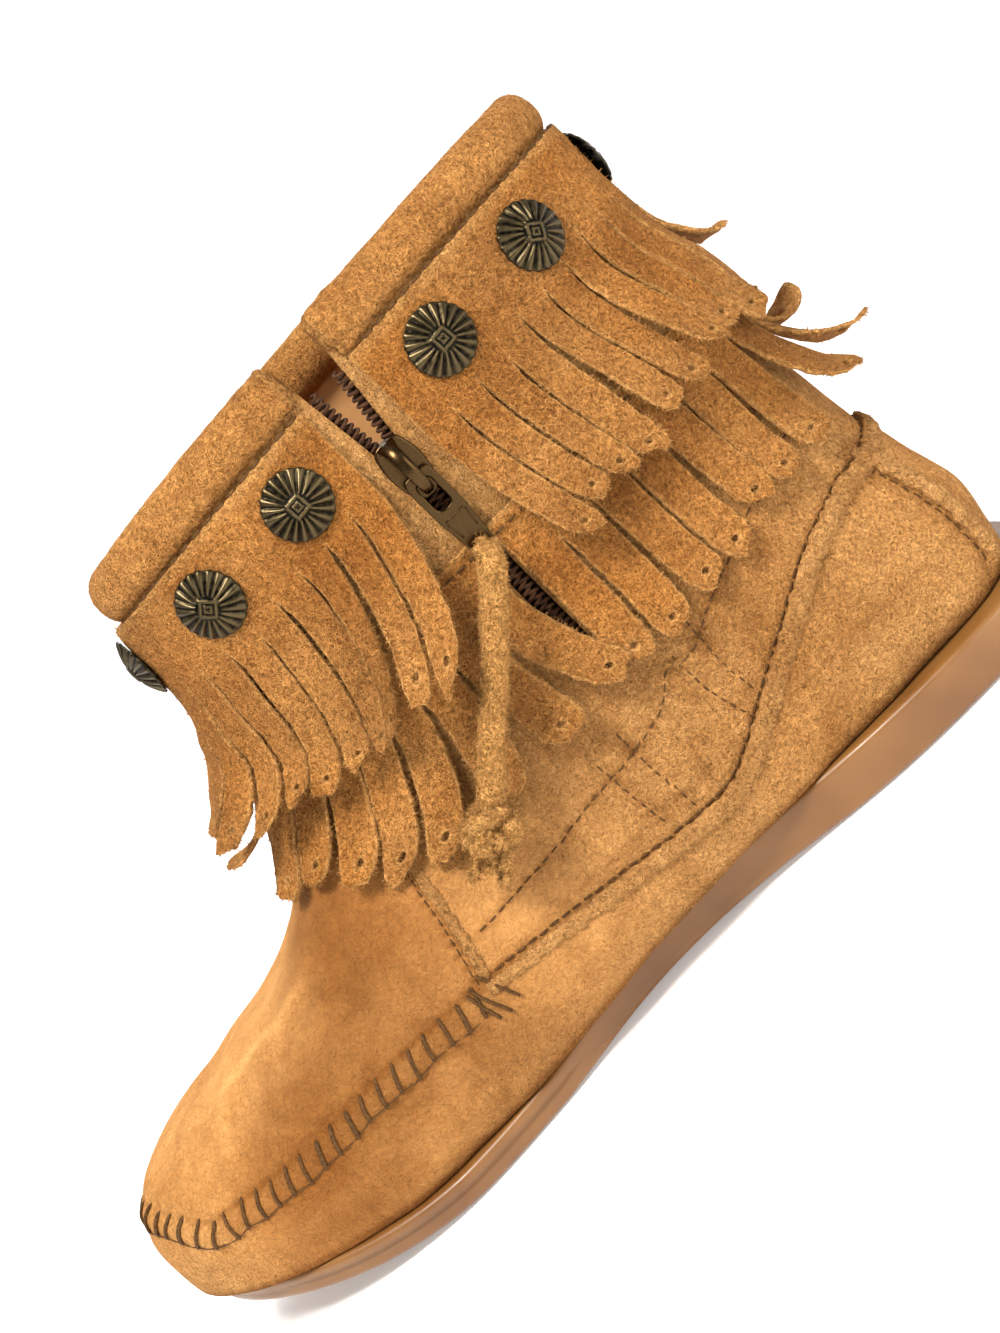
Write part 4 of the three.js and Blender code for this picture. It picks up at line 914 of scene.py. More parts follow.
def rough_tube(path, radius, around, seed, rough, squash, side=None):
    points, faces = tube(path, radius, around, squash, side)
    centre = np.repeat(path, around, axis=0)
    centre = np.concatenate([centre, path[:1], path[-1:]])
    push = unit(points - centre)
    bumps = ripple(points, 2.2, seed) * rough + ripple(points, 6.0, seed + 1) * rough * 0.8
    return points + push * bumps[:, None], faces


def thong_knot(path):
    """The knot at the thong's end with three short tails, and the neck that goes through the tab's hole."""
    neck_path = on_zip([(0, TAB_OUT - 2.0, HOLE_Z - 0.4), (0, TAB_OUT, HOLE_Z), (0, TAB_OUT + 4.2, HOLE_Z)])
    neck = tube(neck_path, 1.0, 10)
    end = path[-1]
    way = unit(path[-1] - path[-4])
    wide = unit(np.cross(way, ZIP_OUT))
    out = np.cross(wide, way)
    swing = np.linspace(0, 1, 90) * TURN * 1.55
    loop = (
        end + way * (2.2 + 2.6 * np.sin(swing + 0.3))[:, None]
        + wide * (3.7 * np.cos(swing))[:, None]
        + out * (2.4 * np.sin(swing * 1.5) + 0.3)[:, None]
    )
    knot_a = rough_tube(loop, 2.7, 14, 9, 0.22, 0.9)
    turn = np.linspace(0, TURN * 1.1, 60)
    wrap = (
        end + way * (2.0 + 3.6 * np.sin(turn + 2.0) * 0.55)[:, None]
        + wide * (2.6 * np.sin(turn))[:, None]
        + out * (3.0 * np.cos(turn))[:, None]
    )
    knot_b = rough_tube(wrap, 2.5, 14, 12, 0.22, 0.9)
    tails = []
    for k, (a, b, c, seed) in enumerate([(-2.2, 0.6, 12.5, 21), (2.6, -0.4, 11.0, 22), (0.4, 1.4, 8.5, 23)]):
        u = np.linspace(0, 1, 26)
        tail = end + np.outer(2.5 + u * c, way) + np.outer(a * u ** 0.7 * 1.5, wide) + np.outer(b * u * 1.4, out)
        radius = mix(2.3, 1.3, u) * (1 + 0.18 * np.sin(u * 17 + k))
        tails.append(rough_tube(tail, radius, 12, seed, 0.34, 0.62))
    return napped(joined([neck, knot_a, knot_b, *tails]), 4200, 1.4, 25, 0.1)


def make_thong():
    line = on_zip([
        (0, TAB_OUT + 4.4, HOLE_Z), (1.6, TAB_OUT + 5.4, HOLE_Z - 3.4), (8, TAB_OUT + 6.2, HOLE_Z - 10.5),
        (19, TAB_OUT + 6.6, HOLE_Z - 21.5), (30, TAB_OUT + 6.4, HOLE_Z - 32), (38, TAB_OUT + 6.2, HOLE_Z - 40),
    ])
    path, length = smooth_path(line, 30)
    side = np.cross(np.gradient(path, axis=0), np.tile(ZIP_OUT, (30, 1)))
    points, faces = rough_tube(path, 2.9, 20, 3, 0.16, 0.86, side)
    cord = piece("thong_lace", points, faces, THONG_LOOK, {"edge": 0.45}, "pull")
    hairs = fibres(points, faces, np.ones(len(points)), 3400, 0.85, 24, 0.1)
    nap = piece("thong_nap", *hairs, THONG_LOOK, {"edge": 0.8}, "pull")
    knot = piece("thong_knot", *thong_knot(path), THONG_LOOK, {"edge": 0.6}, "pull")
    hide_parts("pull_thong")


make_thong()

# The three long seams
QUARTER, TOE, HEEL = all_seams()
TOE_STITCHES = int(TOE.length / 4.6)
TOE_END = 1.5
TOE_STITCH_HALF = 3.7
TOE_STITCH_RADIUS = 0.50
TOE_THREAD_RADIUS = 0.17


def toe_phase(s):
    """Turn of the pull of the toe's stitches, a full turn for each."""
    return (s - TOE_END) / (TOE.length - 2 * TOE_END) * TOE_STITCHES * TURN


# Stitch lines of the panels, by their places in the side view, with spacing and length
PANEL_PLACES = [
    ([(137, 40), (113, 41), (99, 43), (86, 44), (75, 47), (62, 52), (40, 60), (21, 66), (10, 66)], 2.7, 2.4),
    ([(61, 57), (61.5, 43), (60, 30)], 2.3, 2.0),
    ([(68, 56), (67.5, 42), (64.5, 30)], 2.3, 2.0),
    ([(87.5, 50), (87, 37), (86, 26)], 2.3, 2.0),
    ([(95, 48), (94, 37), (93, 28)], 2.3, 2.0),
    ([(138.6, 60), (140.9, 46), (144, 31.5)], 2.4, 2.2),
]
PANELS = [(side_line(places, side), spacing, length) for places, spacing, length in PANEL_PLACES for side in (1, -1)]
FLAPS = [side_line([(136.8, 60), (138.6, 46), (142, 32)], side) for side in (1, -1)]


# Upper: one thin shell with the zip's slit, soft folds and the relief of its seams
def zip_turn(rows, shift):
    """Turn of the slit's edge at each row; shift 1 is the toe's side and -1 the heel's."""
    def below(turn):
        p = last_point(rows, turn)
        half = np.where(p[:, 2] > ZIP_BOTTOM, zip_half(p[:, 2]), 0)
        half *= np.sqrt(np.clip((p[:, 2] - ZIP_BOTTOM) / 2.5, 0, 1))
        return p[:, 0] < ZIP_X + shift * half

    widest = np.full(len(rows), 1.25)
    return bisect(-widest, widest, 40, below)


def upper_grid(rows, columns):
    """Rows and turns of the shell; above the vamp each row starts and ends at the zip's slit."""
    solved = np.maximum(rows, 9.4)
    fade = smoothstep(5.0, 9.4, rows)
    start = zip_turn(solved, 1) * fade
    end = zip_turn(solved, -1) * fade + TURN
    u = np.linspace(0, 1, columns)
    turns = mix(start[:, None], end[:, None], u[None, :])
    return np.repeat(rows[:, None], columns, axis=1), turns


# Soft folds of the leather: centre x, y, z, half length and direction in x, y, z, half width, depth
FOLDS = [
    (180, 23, 55, 15, (0.72, -0.02, -0.30), 3.6, 1.1), (176, 27, 55, 17, (0.62, 0.2, -0.45), 4.6, -1.0),
    (165, 30, 54, 17, (0.1, 0.7, -0.6), 5.0, -1.0), (156, 33, 52, 16, (0.3, 0.5, -0.7), 4.5, 0.7),
    (206, 27, 47, 13, (0.45, 0.75, -0.45), 3.4, 0.9), (201, 29, 46, 15, (0.35, 0.75, -0.5), 4.4, -0.9),
    (192, 24, 51, 16, (0.2, 0.85, -0.4), 5.0, 0.6), (150, -26, 62, 24, (0.35, 0.75, -0.55), 5.0, -1.1),
    (160, -30, 54, 20, (0.2, 0.8, -0.55), 4.5, 0.9), (178, -20, 56, 18, (0.7, 0.1, -0.3), 4.0, 1.0),
    (184, 0, 55, 22, (0.1, 1.0, 0.0), 5.5, -0.9), (196, 2, 50, 20, (-0.15, 1.0, 0.0), 6.0, 0.6),
    (206, -24, 46, 16, (0.4, -0.7, -0.4), 4.5, -0.8), (30, 32, 26, 20, (0.8, 0.1, -0.6), 5.0, -0.9),
    (48, 36, 26, 20, (0.85, 0.05, -0.5), 4.0, 0.8), (36, 32, 37, 18, (0.5, 0.2, -0.8), 4.5, -0.6),
    (16, 26, 34, 16, (0.5, 0.5, -0.7), 5.0, 0.8), (100, 38, 22, 26, (1.0, 0, -0.05), 4.0, -0.7),
    (130, 42, 21, 26, (1.0, 0.05, 0.1), 4.5, 0.7), (30, -34, 26, 22, (0.8, -0.1, -0.6), 6.0, -0.9),
    (56, -37, 26, 20, (0.9, -0.05, -0.4), 5.0, 0.8), (100, -38, 22, 26, (1.0, 0, -0.05), 4.0, -0.7),
    (140, -42, 22, 26, (1.0, 0.05, 0.1), 4.5, 0.7), (0, 4, 30, 14, (0.1, 1.0, 0.3), 5.0, 0.6),
    (2, -6, 44, 14, (0.1, 1.0, -0.2), 5.0, -0.6), (168, 43, 22, 18, (0.9, 0.2, 0.35), 4.0, -0.8),
    (196, 42, 24, 20, (1.0, -0.1, -0.1), 4.0, 0.6), (78, 35, 36, 13, (0.75, 0.0, -0.66), 3.4, 0.8),
    (74, 36, 40, 14, (0.6, 0.0, -0.8), 3.4, -0.8), (112, 38, 36, 12, (0.9, 0.0, 0.3), 4.0, 0.6),
    (50, 34, 44, 14, (0.6, 0.1, -0.75), 4.0, -0.7), (66, 35, 48, 12, (0.5, 0.0, -0.85), 3.0, 0.6),
    (150, 40, 28, 12, (0.9, 0.1, 0.4), 4.0, 0.6), (214, 34, 36, 12, (0.7, -0.5, 0.3), 3.6, -0.6),
]


def folds(points):
    """Height of the soft folds at each point."""
    total = np.zeros(len(points))
    for x, y, z, half, direction, width, depth in FOLDS:
        d = unit(np.array(direction, float))
        offset = points - np.array([x, y, z], float)
        along = offset @ d
        bend = np.sin(along / half * 1.7 + x) * width * 0.35
        away = offset - np.outer(along, d)
        side = np.linalg.norm(away, axis=1) - bend
        total += depth * bell(along, half) * bell(side, width)
    return total


def toe_ridge(gap):
    return 0.55 * bell(gap, 2.0)


def relief(points):
    """Height of the outer leather above the last, and the painted shade in the creases and dimples along its seams."""
    height = folds(points) + 0.22 * ripple(points, 26, 5)
    dark = np.zeros(len(points))
    s, away, gap = TOE.near(points)
    pull = 0.5 + 0.5 * np.cos(toe_phase(s))
    height += toe_ridge(gap) - 0.35 * pull * bell(gap - 3.4, 1.3)
    height += 0.16 * (1 - pull) * bell(gap - 2.4, 1.8)
    # Painted shade beside the toe seam and in the dimples where its stitches pull.
    dark += 0.30 * bell(away + 2.9, 0.6) + 0.22 * pull * bell(gap - 3.5, 0.8)
    s, away, gap = QUARTER.near(points)
    below = smoothstep(1.2, -0.6, away) * bell(gap, 16)
    height += 0.8 * below - 0.35 * bell(away - 2.4, 0.9) * bell(gap, 4)
    # Painted shade in the crease beside the quarter's piping.
    dark += 0.45 * bell(away - 2.3, 0.7) * bell(gap, 4)
    s, away, gap = HEEL.near(points)
    height += 0.9 * bell(gap, 1.8) - 0.4 * bell(away - 2.6, 0.9) * bell(gap, 5)
    # Painted shade in the crease beside the heel seam.
    dark += 0.5 * bell(away - 2.5, 0.8) * bell(gap, 5)
    for line, _, _ in PANELS:
        gap = line.near(points)[2]
        height -= 0.28 * bell(gap, 0.8)
        # Painted shade in the crease of each panel's stitch line.
        dark += 0.45 * bell(gap, 0.6)
    shaft_zone = smoothstep(84, 92, points[:, 2])
    return height * (1 - shaft_zone), np.clip(dark, 0, 1)


def make_upper():
    rows = np.concatenate([
        [0.0, 0.015, 0.05, 0.1, 0.16, 0.24, 0.34, 0.46], np.linspace(0.6, 12, 128), np.linspace(12.1, EDGE_ROW, 46),
    ])
    columns = 281
    r, t = upper_grid(rows, columns)
    base = last_point(r, t).reshape(-1, 3)
    normal = last_normal(r, t).reshape(-1, 3)
    height, dark = relief(base)
    front = base + normal * height[:, None]
    front[0:columns] = front[0:columns].mean(axis=0)
    back = last_offset(np.maximum(r, 0.35), t, np.full(r.shape, -LEATHER)).reshape(-1, 3)
    x = front[:, 0]
    rest = sole_top(x) + 0.3
    sunk = front[:, 2] < rest
    front[:, 2] = np.where(sunk, rest, front[:, 2])
    # Painted shade along the line where the upper meets the sole.
    dark = np.maximum(dark, 0.75 * bell(front[:, 2] - rest, 1.6))
    inner = sole_top(back[:, 0]) + 2.3
    back[:, 2] = np.maximum(back[:, 2], inner)
    count = len(front)
    faces = facing(front, grid_faces(len(rows), columns), normal, 5000)
    all_faces = faces.tolist() + (faces[:, ::-1] + count).tolist()
    grid = front.reshape(len(rows), columns, 3)
    split = np.linalg.norm(grid[:, 0] - grid[:, -1], axis=1)
    for i in range(len(rows) - 1):
        if split[i] > 0.05 or split[i + 1] > 0.05:
            a = i * columns
            b = a + columns
            all_faces.append([a, b, b + count, a + count])
            a += columns - 1
            b += columns - 1
            all_faces.append([b, a, a + count, b + count])
    warm = patches(front, WARM)
    worn = patches(front, WORN)
    dark = np.clip(dark + patches(front, DYE_AND_PAINTED_SHADE) - painted_ridge_highlights(front), 0, 1)
    points = np.concatenate([front, back])
    made = piece("upper_shell", points, all_faces, SUEDE_LOOK, {
        "shade": np.concatenate([dark, dark * 0]),
        "warm": np.concatenate([warm, warm * 0]),
        "worn": np.concatenate([worn, worn * 0]),
    })
    made.data.materials.append(LINING_LOOK)
    index = np.zeros(len(made.data.polygons), int)
    index[len(faces):2 * len(faces)] = 1
    made.data.polygons.foreach_set("material_index", index)
    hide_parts("upper")
    return made


# Warm patches of the dye, as in the photograph: centre, radius and strength
WARM = [
    ((226, 20, 44), 18, 0.05), ((208, 12, 52), 22, 0.15), ((236, 20, 36), 12, 0.35), ((160, 20, 66), 16, 0.4),
    ((205, 40, 24), 20, 0.45), ((140, 38, 60), 16, 0.4), ((10, 10, 30), 26, 0.4), ((8, -16, 40), 26, 0.4),
    ((60, 36, 22), 18, 0.3), ((180, -30, 40), 26, 0.5), ((41, 30, 53), 14, 0.4),
]
# Darker patches, by centre, radius and strength: darker dye on the vamp and painted shade in the folds and low on the
# sides by the sole
DYE_AND_PAINTED_SHADE = [
    ((164, 32, 56), 24, 0.36), ((180, 38, 42), 22, 0.40), ((148, 38, 44), 20, 0.34), ((150, 20, 68), 22, 0.56),
    ((198, 42, 22), 24, 0.85), ((150, 42, 16), 18, 0.42), ((130, 38, 14), 18, 0.36), ((165, 30, 52), 8, 0.14),
    ((41, 30, 53), 14, 0.22), ((60, 35, 55), 16, 0.26), ((98, 37, 50), 30, 0.30), ((140, -36, 50), 36, 0.40),
    ((180, -38, 40), 24, 0.34), ((190, 32, 44), 10, 0.16), ((90, -38, 40), 30, 0.25), ((232, 0, 26), 16, 0.15),
    ((166, 18, 64), 14, 0.20), ((176, 14, 60), 10, 0.16), ((152, 40, 30), 8, 0.14), ((172, 42, 30), 7, 0.14),
    ((212, 38, 32), 8, 0.12),
    ((120, 38, 30), 9, 0.14), ((86, 36, 30), 7, 0.10), ((160, -30, 50), 10, 0.15), ((200, -34, 36), 14, 0.2),
]
# Painted highlights, pale lines along the ridges of the creases: width, strength and places
PAINTED_RIDGE_HIGHLIGHTS = [
    (1.7, 0.34, [(172, 26, 57), (178, 23, 55), (186, 22, 53), (195, 20, 51), (201, 20, 50)]),
    (1.5, 0.22, [(184, 24, 52), (188, 28, 48), (189, 32, 45)]),
    (1.9, 0.24, [(203, 21, 50), (207, 26, 47), (209, 32, 43), (210, 36, 38)]),
    (2.2, 0.20, [(176, 42, 22), (186, 43, 21), (196, 43, 20), (206, 42, 20)]),
    (1.8, 0.18, [(112, 38, 24), (122, 39, 22), (134, 41, 20)]),
    (2.0, 0.20, [(172, -26, 57), (182, -24, 54), (193, -20, 51)]),
]


def painted_ridge_highlights(points):
    total = np.zeros(len(points))
    for width, strength, places in PAINTED_RIDGE_HIGHLIGHTS:
        line, _ = smooth_path(places, 40)
        gap = np.min(np.linalg.norm(points[:, None] - line[None], axis=2), axis=1)
        total += strength * bell(gap, width)
    return total


WORN = [
    ((175, 0, 58), 45, 1.0), ((215, 0, 40), 42, 1.0), ((160, 36, 40), 32, 0.9), ((160, -36, 40), 32, 0.9),
    ((195, 42, 22), 26, 0.8), ((195, -42, 22), 26, 0.8), ((125, 40, 20), 22, 0.5), ((110, 37, 40), 24, 0.4),
]


def patches(points, table):
    total = np.zeros(len(points))
    for centre, radius, strength in table:
        gap = np.linalg.norm(points - np.array(centre, float), axis=1)
        total += strength * bell(gap, radius)
    return np.clip(total, 0, 1)


UPPER = make_upper()


# Whip stitches across the toe seam, with the thin thread along their lower ends
def make_toe_seam():
    rng = np.random.default_rng(12)
    parts = []
    lower = []
    for k in range(TOE_STITCHES + 1):
        s = TOE_END + k * (TOE.length - 2 * TOE_END) / TOE_STITCHES
        p, along, across, normal = (v[0] for v in TOE.at(np.array([s])))
        lean = 0.30 + rng.uniform(-0.12, 0.12)
        direction = unit(across + along * lean)
        half = TOE_STITCH_HALF * rng.uniform(0.86, 1.08)
        t = np.linspace(-1, 1, 11)
        bend = rng.uniform(-0.35, 0.35)
        path = (
            p + across * rng.uniform(-0.4, 0.3) + np.outer(t * half, direction)
            + np.outer(bend * (1 - t ** 2), along)
        )
        sink = TOE.near(path)[2] ** 2 / 90
        height = relief(path)[0] + 0.36 - 0.7 * np.abs(t) ** 8 - sink
        path = path + np.outer(height, normal)
        radius = TOE_STITCH_RADIUS * np.sqrt(np.maximum(1 - np.abs(t) ** 9, 0.05)) * rng.uniform(0.8, 1.15)
        parts.append(tube(path, radius, 8, 0.75, np.tile(along, (11, 1))))
        lower.append(path[-2] - normal * 0.05)
    path, _ = smooth_path(np.array(lower), len(lower) * 6)
    parts.append(tube(path, TOE_THREAD_RADIUS, 5))
    corners = [
        [(139.2, 25.5), (143.0, 34.5)], [(142.6, 24.5), (146.2, 33.5)], [(145.2, 25.0), (147.2, 33.0)],
    ]
    for number, places in enumerate(corners):
        for side in (1, -1):
            line = side_line(places, side)
            p, _, _, normal = line.at(np.linspace(0, line.length, 9))
            path = p + normal * (relief(p)[0] + 0.75)[:, None]
            parts.append(tube(path, 0.46 + 0.05 * (number % 2), 7, 0.75))
    thread_piece("stitches_toe", parts)


make_toe_seam()


thread_piece("stitches_panels", [
    stitch for number, (line, spacing, length) in enumerate(PANELS)
    for stitch in stitch_row(
        line, 0.5, spacing, length, width=0.5, out=0.08, aside=0, bow=0.2, seed=40 + number,
    )
])


def rolled_edge(line, width, out, squash, seed, ends, count, thin):
    """A soft rolled rim along a seam, thinner towards its ends."""
    s = np.linspace(0, line.length, count)
    p, _, across, normal = line.at(s)
    centre = p + normal * (out + relief(p)[0])[:, None]
    wide = width * (1 + 0.06 * np.sin(s * 0.9 + seed) + 0.05 * np.sin(s * 2.3 + seed))
    fade = thin + (1 - thin) * smoothstep(0, ends, np.minimum(s, line.length - s))
    points, faces = tube(centre, wide * fade, 16, squash, across)
    core = np.concatenate([np.repeat(centre, 16, axis=0), centre[:1], centre[-1:]])
    bumps = 0.14 * ripple(points, 3.0, seed) + 0.08 * ripple(points, 1.2, seed + 1)
    return points + unit(points - core) * bumps[:, None], faces


# Rolled rims: the vamp's folded edges, the quarter's piping and the overlapped strip at the heel
RIM_HAIR = 0.7


def make_rim(name, rims, hair_count, seed, fields):
    piece(name, *napped(joined(rims), hair_count, RIM_HAIR, seed), SUEDE_LOOK, fields)


# The vamp's folded edges get painted shade all over through their shade field.
make_rim("vamp_folds", [
    rolled_edge(line, 1.25, out=0.05, squash=0.5, seed=51 + k, ends=1.5, count=90, thin=0.5)
    for k, line in enumerate(FLAPS)
], 900, 53, {"edge": 0.2, "shade": 0.38})
make_rim("quarter_piping", [
    rolled_edge(QUARTER, 2.25, out=0.15, squash=0.52, seed=31, ends=60, count=420, thin=0.62),
], 2600, 32, {"edge": 0.3, "shade": 0.16})
thread_piece("stitches_quarter", stitch_row(
    QUARTER, 3, spacing=2.9, length=2.6, width=0.6, out=0.12, aside=2.5, bow=0.2, seed=4,
))
make_rim("heel_seam", [
    rolled_edge(HEEL, 2.1, out=0.1, squash=0.62, seed=35, ends=3.0, count=90, thin=0.5),
], 700, 36, {"edge": 0.4})
thread_piece("stitches_heel", stitch_row(
    HEEL, 1, spacing=2.8, length=2.2, width=0.5, out=0.1, aside=2.5, bow=0.2, seed=6,
))


# Outsole with rounded edges and shallow tread
TREAD_START = 14


def in_groove(x):
    start = (x - TREAD_START) % (2 * TREAD_RIB)
    inside = (start <= TREAD_RIB * 0.55) & (x >= TREAD_START) & (x < LENGTH * 0.9)
    waist = (x > LENGTH * 0.29 + 4) & (x < LENGTH * 0.54)
    return inside & ~waist


# Side and upper rim of the sole's section: outward and upward from the corner
SOLE_SIDE = [(-0.7, 0.18), (-0.2, 0.7), (0.0, 1.5), (-0.12, 2.4), (-0.16, 3.4), (-0.05, 4.2)]
SOLE_RIM = [(0.0, -1.5), (-0.05, -0.9), (-0.35, -0.35), (-0.9, -0.05), (-1.8, 0.0)]
SOLE_CORNER = 1.5


def sole_section(left, right, low, high, grooved):
    """One closed section of the sole as y, z and shade: under, inner side, top, outer side."""
    half = (left - right) / 2
    centre = (left + right) / 2
    thick = high - low
    inner = half - min(TREAD_MARGIN, half * 0.6)
    depth = TREAD_DEPTH if grooved and half > 12 else 0.0
    under = []
    for y in [SOLE_CORNER - half, -inner - 0.2, *np.linspace(-inner, inner, 7), inner + 0.2, half - SOLE_CORNER]:
        hole = depth if abs(y) <= inner + 1e-6 else 0.0
        under.append((centre + y, low + hole, 0.7 if hole else 0.15))

    def flank(edge, sign):
        wall = [(edge + sign * max(out, -half), low + min(up, thick * 0.5), 0.12) for out, up in SOLE_SIDE]
        lip = [(edge + sign * max(out, -half), high + max(up, -thick * 0.45), 0.0) for out, up in SOLE_RIM]
        return wall + lip

    top = [(centre + y, high, 0.1) for y in np.linspace(half * 0.8, -half * 0.8, 5)]
    return [*under, *flank(left, 1), *top, *flank(right, -1)[::-1]]


def make_outsole():
    f = (1 - np.cos(np.linspace(0, math.pi, 150))) / 2
    xs = list(mix(SOLE_OUTLINE[0, 0] * LENGTH, SOLE_OUTLINE[-1, 0] * LENGTH, f))
    width = TREAD_RIB * 0.55
    for start in np.arange(TREAD_START, LENGTH * 0.9, 2 * TREAD_RIB):
        xs += [start - 0.15, start + 0.1, start + width - 0.1, start + width + 0.15]
    xs = np.unique(np.round(xs, 3))
    sections = [sole_section(*row) for row in zip(*sole_edges(xs), sole_under(xs), sole_top(xs), in_groove(xs))]
    points = np.array([[(x, y, z) for y, z, _ in section] for x, section in zip(xs, sections)])
    shades = [shade for section in sections for _, _, shade in section]
    count = points.shape[1]
    flat = points.reshape(-1, 3)
    faces = [list(q) for q in grid_faces(len(xs), count, closed=True)]
    faces += caps(0, len(flat) - count, count, len(flat), len(flat) + 1)
    flat = np.concatenate([flat, [points[0].mean(axis=0), points[-1].mean(axis=0)]])
    faces = facing(flat, faces, unit(flat - np.array([120, 0, 5.0])))
    made = piece("outsole_rubber", flat, faces, RUBBER_LOOK, {"shade": [*shades, 0, 0]})
    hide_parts("outsole")


make_outsole()


def make_insole():
    wall = np.array([tuple(v.co) for v in UPPER.data.vertices]) / MM
    wall = wall[len(wall) // 2:]
    wall = wall[np.abs(wall[:, 2] - sole_top(wall[:, 0]) - 5.6) < 1.8]
    f = (1 - np.cos(np.linspace(0, math.pi, 90))) / 2
    xs = mix(wall[:, 0].min() + 1.2, wall[:, 0].max() - 1.2, f)
    left = np.array([wall[np.abs(wall[:, 0] - x) < 2.2, 1].max() for x in xs]) - 0.6
    right = np.array([wall[np.abs(wall[:, 0] - x) < 2.2, 1].min() for x in xs]) + 0.6
    base = sole_top(xs) + 2.6
    across = np.linspace(-1, 1, 25)
    centre = (left + right) / 2
    half = np.maximum((left - right) / 2, 0.5)
    y = centre[:, None] + half[:, None] * across
    dish = 2.6 + 1.2 * np.abs(across[None]) ** 3
    top = np.stack([np.repeat(xs[:, None], 25, 1), y, base[:, None] + dish], -1).reshape(-1, 3)
    low = top - np.array([0, 0, 2.4])
    made = piece("insole_leather", *thick_sheet(top, low, grid_faces(90, 25), 0.3)[:2], LINING_LOOK)
    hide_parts("insole")


make_insole()


# Padded roll round the top edge
def roll_frame(around):
    ring = Ring(ROLL_RING_HEIGHT)
    turn = ring.turn_at(around, SHARES)
    row = np.full_like(turn, EDGE_ROW)
    centre = last_offset(row, turn, np.full_like(turn, -LEATHER / 2))
    out = last_normal(row, turn)
    along = unit(last_point(row, turn + 0.01) - last_point(row, turn - 0.01))
    up = unit(np.cross(out, along))
    up *= np.sign(up[:, 2:3])
    return centre, out, up


ROLL_STITCH_SPACING = 3.5
ROLL_GIRTH = 330


def make_roll():
    gap = (ZIP_OPEN / 2 + 0.3) / Ring(ROLL_RING_HEIGHT).girth
    count = 260
    f = np.linspace(0, 1, count)
    around = mix(gap, 1 - gap, f)
    centre, out, up = roll_frame(around)
    s = f * (1 - 2 * gap) * ROLL_GIRTH
    end = np.minimum(s, s[-1] - s)
    close = 0.62 + 0.38 * np.sqrt(np.clip(1 - (1 - np.clip(end / 1.8, 0, 1)) ** 2, 0.0, 1))
    sides = 34
    angle = np.arange(sides) / sides * TURN
    c = np.cos(angle)
    n = np.sin(angle)
    proud = LEATHER / 2 + ROLL_PROUD - ROLL_THICKNESS / 2
    raised = ROLL_HEIGHT / 2 - ROLL_LAP
    x = proud + ROLL_THICKNESS / 2 * np.sign(c) * np.abs(c) ** 0.92
    y = raised + ROLL_HEIGHT / 2 * np.sign(n) * np.abs(n) ** 0.92
    px = proud + (x - proud)[None] * close[:, None]
    py = raised + (y - raised)[None] * close[:, None]
    points = centre[:, None] + out[:, None] * px[..., None] + up[:, None] * py[..., None]
    core = centre + out * proud + up * raised
    push = unit(points - core[:, None])
    flat = points.reshape(-1, 3)
    dents = 0.10 * ripple(flat, 40, 61) + 0.04 * ripple(flat, 9, 62)
    gather = 0.35 + 0.25 * np.cos(np.repeat(s, sides) / 3.6 * TURN)
    pinch = bell(np.tile(angle, count) - 5.35, 0.35) * gather
    crumple = 0.5 * ripple(flat, 4.5, 63) * np.exp(-np.repeat(end, sides) / 6)
    flat = flat + push.reshape(-1, 3) * (dents + crumple - pinch)[:, None]
    faces = [list(q) for q in grid_faces(count, sides, closed=True)]
    total = len(flat)
    flat = np.concatenate([flat, [flat[:sides].mean(axis=0)], [flat[-sides:].mean(axis=0)]])
    faces += caps(0, total - sides, sides, total, total + 1)
    normals = np.concatenate([push.reshape(-1, 3), push[0, :1], push[-1, :1]])
    faces = facing(flat, faces, normals)
    edge = np.concatenate([np.repeat(0.5 * (end < 2.0), sides), [0.5, 0.5]])
    hairs = fibres(flat, faces, 0.15 + edge * 6, 5000, 0.6, 64)
    edge = np.concatenate([edge, np.full(len(hairs[0]), 0.4)])
    flat, faces = joined([(flat, faces), hairs])
    made = piece("collar_padding", flat, faces, FRINGE_LOOK, {"edge": edge, "shade": 0.0})
    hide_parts("collar_roll")
    parts = []
    rng = np.random.default_rng(8)
    spots = np.arange(4, s[-1] - 4, ROLL_STITCH_SPACING)
    at = mix(gap, 1 - gap, spots / s[-1])
    c0, o0, u0 = roll_frame(at)
    c1, _, _ = roll_frame(at + 0.001)
    for k in range(len(at)):
        direction = unit(c1[k] - c0[k])
        centre_k = c0[k] + o0[k] * (LEATHER / 2 + 1.75) - u0[k] * 3.35
        parts.append(capsule(centre_k, direction, o0[k], 2.9 * rng.uniform(0.9, 1.1), 0.85, 0.2))
    thread_piece("stitches_roll", parts)


make_roll()


# Fringe
def tip_width(v):
    return np.interp(v, [0, 0.35, 0.9, 1.8, 3.0, 4.6, 7], [0.30, 0.52, 0.68, 0.84, 0.94, 1.0, 1.0])


STRIP_COLUMNS = np.array([-1, -0.8, -0.4, 0, 0.4, 0.8, 1.0])
STRIP_HALF = 3.3
TIP_ZONE = 12.0
STRETCH = 22.0
HOLE_AT = 3.3
HOLE_SIZE = 0.58
SLIT_GAP = 0.6


